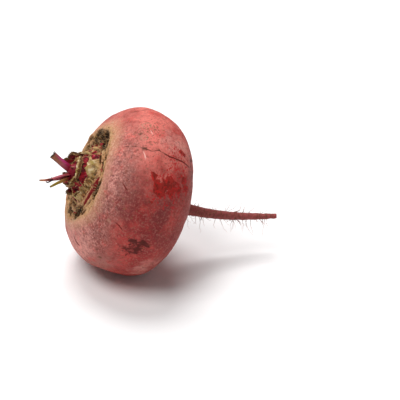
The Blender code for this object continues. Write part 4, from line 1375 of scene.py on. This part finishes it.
STALK_SHARES = ("along", "channel", "rim", "dry", "tip", "green", "side", "withered")
# The low cone in the heart that joins them: radius and height of each ring.
HEART_CONE = [
    (0.8, 27.2), (1.5, 26.9), (2.2, 26.3), (2.8, 25.5), (3.2, 24.8), (3.35, 24.3), (3.2, 24.12),
    (1.5, 24.12)]
HEART_CONE_TOP = 27.3
HEART_CONE_FOOT = 24.12
HEART_CONE_SHARES = (0.0, 0.0, 0.0, 0.1, 0.0, 0.0, 0.0, 0.0)
print("stalks:", ", ".join(HEART_STALKS))

# %% Sweep a channel along a curve


def along_points(knots, count):
    """A smooth run of points through the knots, and the knots' share at each."""
    knots = np.array(knots, float)
    padded = np.vstack((2 * knots[0] - knots[1], knots, 2 * knots[-1] - knots[-2]))
    shares = np.linspace(0.0, len(knots) - 1.0, count)
    run = []
    for value in shares:
        k = min(int(value), len(knots) - 2)
        t = value - k
        a, b, c, d = padded[k : k + 4]
        run.append(0.5 * (2 * b + (c - a) * t + (2 * a - 5 * b + 4 * c - d) * t**2
                          + (3 * b - a - 3 * c + d) * t**3))
    return np.array(run), shares


def stalk_rings(stalk, count=56, around=40):
    """Rings along one stalk, and for each point the shares named in STALK_SHARES."""
    run, shares = along_points(stalk["points"], count)
    radii = np.interp(shares, range(len(stalk["radii"])), stalk["radii"])
    ahead = np.gradient(run, axis=0)
    ahead /= np.linalg.norm(ahead, axis=1)[:, None]
    turn = math.tau * np.arange(around) / around
    # Outside a half round with ribs; inside, where the sine is positive, a hollow channel.
    across, through = np.cos(turn), np.sin(turn)
    outer = 1.0 + 0.035 * np.cos(9.0 * turn)
    px = across * outer
    py = np.where(through < 0.0, through * 0.85 * outer, -0.34 * through + 0.16 * np.abs(across))
    rings = []
    where = []
    for i in range(count):
        side = np.cross(ahead[i], (math.sin(stalk["roll"]), math.cos(stalk["roll"]), 0.15))
        side /= np.linalg.norm(side)
        over = np.cross(ahead[i], side)
        ring = run[i] + radii[i] * (px[:, None] * side + py[:, None] * over)
        share = i / (count - 1)
        end = smooth_step(0.82, 1.0, share)
        rims = np.abs(across) ** 14
        ragged = np.array([noise.noise(Vector((3.0 * c, 3.0 * s, stalk["dry"] * 9.0)))
                           for c, s in zip(across, through)])
        reach = end * (stalk["torn"] * ragged + stalk["horns"] * rims * (0.6 + ragged))
        rings.append(ring + reach[:, None] * ahead[i])
        for c, s in zip(across, through):
            where.append((share, 1.0 if s > 0 else 0.0, abs(c) ** 8, stalk["dry"], stalk["tip"],
                          stalk.get("green", 0.0), smooth_step(0.6, -0.5, c), stalk.get("withered", 0.0)))
    return rings, where


print("ready to sweep", len(HEART_STALKS), "stalks")

# %% Join the stalks and the heart's cone
lofts = []
for stalk in HEART_STALKS.values():
    rings, shares = stalk_rings(stalk)
    lofts.append((close_rings(rings), shares))
cone = close_rings(
    [ring_at(r, h, 48) for r, h in HEART_CONE], (0.0, 0.0, HEART_CONE_TOP), (0.0, 0.0, HEART_CONE_FOOT))
lofts.append((cone, [HEART_CONE_SHARES] * len(cone[0])))
points, faces, where = joined(lofts)
points += 0.05 * three_grains(points * (1.0, 1.0, 0.5), 1.2, (2.0, 6.0, 8.0))
shares = dict(zip(STALK_SHARES, where.T))
stalks = make_mesh("young_stalks", laid_down(points), faces, shares)
outward(stalks)
print("stalk faces:", len(stalks.data.polygons))

# %% Stalk material
stalk_material, tree, shader = new_material("fresh_leaf_stalk", 0.48, 0.22)
growth = growth_coordinates(tree)
share = {
    name: add(tree, "ShaderNodeAttribute", attribute_name=name).outputs["Fac"]
    for name in STALK_SHARES
}
# Looks that come up along a stalk, from 0 at its foot to 1 at its end: start, end and the most.
ALONG_STALK = {
    "heart_dark": (0.56, 0.30, 1.0),
    "dry_up": (0.30, 0.62, 1.0),
    "tip_up": (0.15, 0.65, 1.0),
    "end_up": (0.93, 1.0, 1.0),
    "near_end": (0.66, 0.92, 0.8),
}
for name, (start, end, most) in ALONG_STALK.items():
    share[name] = add(tree, "ShaderNodeMapRange", {
        "Value": share["along"], "From Min": start, "From Max": end, "To Max": most}).outputs[0]
share["outside"] = add(
    tree, "ShaderNodeMath", {0: 1.0, 1: share["channel"]}, operation="SUBTRACT").outputs[0]
# Where two of them meet, the new share is their product.
for name, first, second in (
        ("outside_dry", "outside", "dry"), ("dry_side", "outside_dry", "side"),
        ("tan_out", "dry_side", "dry_up"), ("tip_seen", "tip_up", "tip"),
        ("tip_green", "tip_seen", "green"), ("rim_dry", "rim", "dry"),
        ("rim_brown", "rim_dry", "dry_up"), ("dry_end", "near_end", "dry")):
    share[name] = add(
        tree, "ShaderNodeMath", {0: share[first], 1: share[second]}, operation="MULTIPLY").outputs[0]
lengthwise = noise_mask(tree, growth, 0.8, 3, 6.0, 0.44, 0.58, 0.8)
stalk_colour = painted(tree, growth, linear("#B01E66"), [
    ("#B4507E", lengthwise),
    ("#7A0820", share["heart_dark"]),
    ("#94653A", 1.3, 3, 3.0, 0.26, 0.44, 1.0, share["tan_out"]),
    ("#3A2030", share["rim_brown"]),
    ("#CC8860", share["tip_seen"]),
    ("#A8942C", share["tip_green"]),
    ("#8C6038", share["dry_end"]),
    ("#3B2A20", share["end_up"]),
    ("#1E1410", share["withered"]),
])
tree.links.new(stalk_colour, shader.inputs["Base Color"])
bump = add(tree, "ShaderNodeBump", {"Height": lengthwise, "Strength": 0.4, "Distance": 0.0002})
tree.links.new(bump.outputs[0], shader.inputs["Normal"])
stalks.data.materials.append(stalk_material)
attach(stalks, "root")
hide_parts("heart_stalks")
print("the young stalks are painted")

# %% [markdown]
# ## Hairs, fibres and crumbs
#
# Up close a beetroot is never bare: hair-thin rootlets stand on the tail, torn fibres stick up in the
# crown, and crumbs of dry soil sit in its pits. Placing hundreds by hand is hopeless, and a particle
# system would not reach the exported model. Geometry Nodes scatter them instead: points fall on the
# surface where a mask is high, each gets a thin tapered hair that leans and curls, and the result is
# turned into a plain mesh. One tree grows every hair; its inputs make rootlets or cork fibres of it.

# %% An empty tree with named inputs


def new_geometry_tree(name, sockets):
    """A Geometry Nodes tree with a geometry input, the named inputs, and a geometry output."""
    tree = bpy.data.node_groups.new(name, "GeometryNodeTree")
    tree.interface.new_socket("Geometry", in_out="INPUT", socket_type="NodeSocketGeometry")
    for title, kind, value in sockets:
        made = tree.interface.new_socket(title, in_out="INPUT", socket_type=kind)
        if value is not None:
            made.default_value = value
    tree.interface.new_socket("Geometry", in_out="OUTPUT", socket_type="NodeSocketGeometry")
    return tree, add(tree, "NodeGroupInput"), add(tree, "NodeGroupOutput")


def points_where_masked(tree, take):
    """Points scattered on the faces, more of them where the named mask is high."""
    mask = add(tree, "GeometryNodeInputNamedAttribute", {"Name": take["Mask name"]}, data_type="FLOAT")
    density = add(tree, "ShaderNodeMath", {0: mask.outputs[0], 1: take["Density per square metre"]},
                  operation="MULTIPLY")
    return add(tree, "GeometryNodeDistributePointsOnFaces", {
        "Mesh": take["Geometry"], "Density": density.outputs[0], "Seed": take["Seed"]})


def pushed_by_noise(tree, geometry, field, amount):
    """Moves each point along a noise's colour, which is taken about its middle, by the amount."""
    centred = add(tree, "ShaderNodeVectorMath", {0: field.outputs[1], 1: (0.5, 0.5, 0.5)},
                  operation="SUBTRACT")
    offset = add(tree, "ShaderNodeVectorMath", {0: centred.outputs[0], "Scale": amount.outputs[0]},
                 operation="SCALE")
    return add(tree, "GeometryNodeSetPosition", {
        "Geometry": geometry.outputs[0], "Offset": offset.outputs[0]})


print("helpers for trees are ready")

# %% A tree that grows tapered hairs on a surface
HAIR_DISORDER = 0.55
SHORTEST_HAIR = 0.35
TIP_SHARE = 0.25


def hair_tree():
    """Grows a thin, curled hair at each point, and gives it its material."""
    tree, given, result = new_geometry_tree("grow_tapered_hairs", [
        ("Density per square metre", "NodeSocketFloat", 1.0e6),
        ("Length", "NodeSocketFloat", 0.004),
        ("Thickness", "NodeSocketFloat", 0.0001),
        ("Lean", "NodeSocketVector", (0.0, 0.0, 1.0)),
        ("Lean share", "NodeSocketFloat", 0.5),
        ("Curl", "NodeSocketFloat", 0.001),
        ("Curl size", "NodeSocketFloat", 0.004),
        ("Mask name", "NodeSocketString", "hairy"),
        ("Seed", "NodeSocketInt", 1),
        ("Material", "NodeSocketMaterial", None),
    ])
    take = given.outputs
    points = points_where_masked(tree, take)
    # One hair: a line along +Z, and how far along it each point is.
    line = add(tree, "GeometryNodeCurvePrimitiveLine", {"End": (0.0, 0.0, 1.0)})
    steps = add(tree, "GeometryNodeResampleCurve", {"Curve": line.outputs[0], "Count": 8})
    along = add(tree, "GeometryNodeSplineParameter").outputs["Factor"]
    kept = add(tree, "GeometryNodeStoreNamedAttribute", {
        "Geometry": steps.outputs[0], "Name": "along", "Value": along}, data_type="FLOAT", domain="POINT")
    # Where each hair points: between the surface's normal and the lean, with some disorder.
    loose = add(tree, "FunctionNodeRandomValue", {
        0: (-HAIR_DISORDER,) * 3, 1: (HAIR_DISORDER,) * 3, "Seed": take["Seed"]},
        data_type="FLOAT_VECTOR")
    toward = add(tree, "ShaderNodeMix", {
        0: take["Lean share"], 4: points.outputs["Normal"], 5: take["Lean"]}, data_type="VECTOR")
    messy = add(
        tree, "ShaderNodeVectorMath", {0: toward.outputs[1], 1: loose.outputs[0]}, operation="ADD")
    turned = add(tree, "FunctionNodeAlignRotationToVector", {"Vector": messy.outputs[0]}, axis="Z")
    longer = add(tree, "FunctionNodeRandomValue", {
        2: SHORTEST_HAIR, 3: 1.0, "Seed": take["Seed"]}, data_type="FLOAT")
    size = add(tree, "ShaderNodeMath", {0: longer.outputs[1], 1: take["Length"]}, operation="MULTIPLY")
    hairs = add(tree, "GeometryNodeInstanceOnPoints", {
        "Points": points.outputs[0], "Instance": kept.outputs[0], "Rotation": turned.outputs[0],
        "Scale": size.outputs[0]})
    real = add(tree, "GeometryNodeRealizeInstances", {"Geometry": hairs.outputs[0]})
    # Curl: a smooth noise field pushes each point, more and more towards the tip.
    place = add(tree, "GeometryNodeInputPosition")
    per_size = add(tree, "ShaderNodeMath", {0: 1.0, 1: take["Curl size"]}, operation="DIVIDE")
    field = add(tree, "ShaderNodeTexNoise", {"Vector": place.outputs[0], "Scale": per_size.outputs[0],
                                             "Detail": 1.0})
    far = add(tree, "GeometryNodeInputNamedAttribute", {"Name": "along"}, data_type="FLOAT")
    push = add(tree, "ShaderNodeMath", {0: far.outputs[0], 1: take["Curl"]}, operation="MULTIPLY")
    curled = pushed_by_noise(tree, real, field, push)
    # The hair gets a square section, thinner towards its tip.
    thin = add(tree, "ShaderNodeMapRange", {"Value": far.outputs[0], "To Min": 1.0, "To Max": TIP_SHARE})
    radius = add(tree, "ShaderNodeMath", {0: thin.outputs[0], 1: take["Thickness"]}, operation="MULTIPLY")
    ring = add(tree, "GeometryNodeCurvePrimitiveCircle", {"Resolution": 4, "Radius": 0.5})
    tubes = add(tree, "GeometryNodeCurveToMesh", {
        "Curve": curled.outputs[0], "Profile Curve": ring.outputs[0], "Scale": radius.outputs[0],
        "Fill Caps": True})
    painted_hairs = add(tree, "GeometryNodeSetMaterial", {
        "Geometry": tubes.outputs[0], "Material": take["Material"]})
    tree.links.new(painted_hairs.outputs[0], result.inputs[0])
    return tree


hairs_tree = hair_tree()
print("the hair tree has", len(hairs_tree.nodes), "nodes")

# %% A tree that scatters crumbs
MOST_TURN = 6.28
SMALLEST_CRUMB = (0.3, 0.3, 0.25)
LARGEST_CRUMB = (1.2, 1.0, 0.7)
CRUMB_ROUGHNESS_SCALE = 4000.0


def crumb_tree():
    """Sets a small rough lump of random turn and size at each point."""
    tree, given, result = new_geometry_tree("scatter_soil_crumbs", [
        ("Density per square metre", "NodeSocketFloat", 1.0e6),
        ("Size", "NodeSocketFloat", 0.0005),
        ("Mask name", "NodeSocketString", "crumbs"),
        ("Seed", "NodeSocketInt", 3),
        ("Material", "NodeSocketMaterial", None),
    ])
    take = given.outputs
    points = points_where_masked(tree, take)
    lump = add(tree, "GeometryNodeMeshIcoSphere", {"Radius": 0.5, "Subdivisions": 1})
    turn = add(tree, "FunctionNodeRandomValue", {1: (MOST_TURN,) * 3, "Seed": take["Seed"]},
               data_type="FLOAT_VECTOR")
    shape = add(tree, "FunctionNodeRandomValue", {
        0: SMALLEST_CRUMB, 1: LARGEST_CRUMB, "Seed": take["Seed"]}, data_type="FLOAT_VECTOR")
    size = add(
        tree, "ShaderNodeVectorMath", {0: shape.outputs[0], "Scale": take["Size"]}, operation="SCALE")
    crumbs = add(tree, "GeometryNodeInstanceOnPoints", {
        "Points": points.outputs[0], "Instance": lump.outputs[0], "Rotation": turn.outputs[0],
        "Scale": size.outputs[0]})
    real = add(tree, "GeometryNodeRealizeInstances", {"Geometry": crumbs.outputs[0]})
    field = add(tree, "ShaderNodeTexNoise", {"Scale": CRUMB_ROUGHNESS_SCALE, "Detail": 0.0})
    push = add(tree, "ShaderNodeMath", {0: take["Size"], 1: 0.5}, operation="MULTIPLY")
    rough = pushed_by_noise(tree, real, field, push)
    done = add(tree, "GeometryNodeSetMaterial", {
        "Geometry": rough.outputs[0], "Material": take["Material"]})
    tree.links.new(done.outputs[0], result.inputs[0])
    return tree


crumbs_tree = crumb_tree()
print("the crumb tree has", len(crumbs_tree.nodes), "nodes")

# %% Run a tree on a masked copy of a surface


def grow_on(name, surface, mask, tree, values):
    """A new piece from the tree's result on the surface; the mask gives where it grows."""
    copy = new_object(name + "_ground", surface.data.copy())
    store(copy.data, {values["Mask name"]: mask})
    modifier = copy.modifiers.new("grow", "NODES")
    modifier.node_group = tree
    for item in tree.interface.items_tree:
        if item.in_out == "INPUT" and item.name in values:
            modifier[item.identifier] = values[item.name]
    graph = bpy.context.evaluated_depsgraph_get()
    mesh = bpy.data.meshes.new_from_object(copy.evaluated_get(graph), depsgraph=graph)
    bpy.data.objects.remove(copy)
    mesh.name = name
    mesh.shade_smooth()
    piece = new_object(name, mesh)
    outward(piece)
    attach(piece, "root")
    print(name, "has", len(mesh.polygons), "faces")


print("ready to grow pieces")

# %% Materials for torn fibre, rootlets and soil


def threadlike_material(name, colour, dark, pale):
    """Dry thread: a dull colour, darker in places, and paler towards the tip."""
    made, tree, shader = new_material(name, 0.7, 0.3)
    growth = growth_coordinates(tree)
    along = add(tree, "ShaderNodeAttribute", attribute_name="along").outputs["Fac"]
    seen = painted(tree, growth, linear(colour), [
        (dark, 2.0, 2, 1.0, 0.42, 0.60, 0.9),
        (pale, 0.8, 2, 1.0, 0.20, 0.50, 0.8, along),
    ])
    tree.links.new(seen, shader.inputs["Base Color"])
    return made


cork_fibre = threadlike_material("torn_cork_fibre", "#A88458", "#5A3C20", "#C9B084")
rootlet = threadlike_material("dry_rootlet", "#9A5248", "#5E2C26", "#B98468")
soil, tree, shader = new_material("dry_soil", 0.95, 0.1)
growth = growth_coordinates(tree)
seen = painted(tree, growth, linear("#3A2A1C"), [("#5E4630", 0.8, 2, 1.0, 0.45, 0.60, 0.9)])
tree.links.new(seen, shader.inputs["Base Color"])
print("hair and soil materials are ready")

# %% Grow them
growth_up = Vector(LAY_DOWN @ np.array((0.0, 0.0, 1.0)))
# The tail is bare at its cut tip, and its hairs stand in groups.
before_tip = smooth_step(-74.0, -68.0, z)
tail_hairs = tail_share * before_tip * (0.25 + 0.75 * smooth_step(-0.1, 0.3, grain(grown, 5.0, 1, 4.0)))
grow_on("tail_rootlets", root_piece, tail_hairs, hairs_tree, {
    "Density per square metre": 2.2e5, "Length": 0.0075, "Thickness": 0.00022,
    "Lean": tuple(-growth_up), "Lean share": 0.35, "Curl": 0.007, "Curl size": 0.004,
    "Mask name": "hairy", "Seed": 5, "Material": rootlet})
crown_hairs = torn_share * (0.04 + np.maximum(0.6 * raw, dirt)) * open_ring
grow_on("crown_fibres", root_piece, crown_hairs, hairs_tree, {
    "Density per square metre": 3.6e5, "Length": 0.0015, "Thickness": 0.00032,
    "Lean": tuple(growth_up), "Lean share": 0.1, "Curl": 0.0030, "Curl size": 0.002,
    "Mask name": "hairy", "Seed": 7, "Material": cork_fibre})
cushion_hairs = top * smooth_step(4.5, 6.0, c_radius) * (1.0 - cushion_shares["crimson"])
cushion_hairs *= 1.0 - 0.9 * cushion_shares["cream"]
grow_on("cushion_fibres", cushion, cushion_hairs, hairs_tree, {
    "Density per square metre": 2.0e5, "Length": 0.0017, "Thickness": 0.00036,
    "Lean": tuple(growth_up), "Lean share": 0.5, "Curl": 0.0022, "Curl size": 0.002,
    "Mask name": "hairy", "Seed": 9, "Material": cork_fibre})
grow_on("soil_crumbs", root_piece, dirt * 0.9 + 0.004 * torn_share, crumbs_tree, {
    "Density per square metre": 3.0e6, "Size": 0.0006, "Mask name": "crumbs", "Seed": 3,
    "Material": soil})
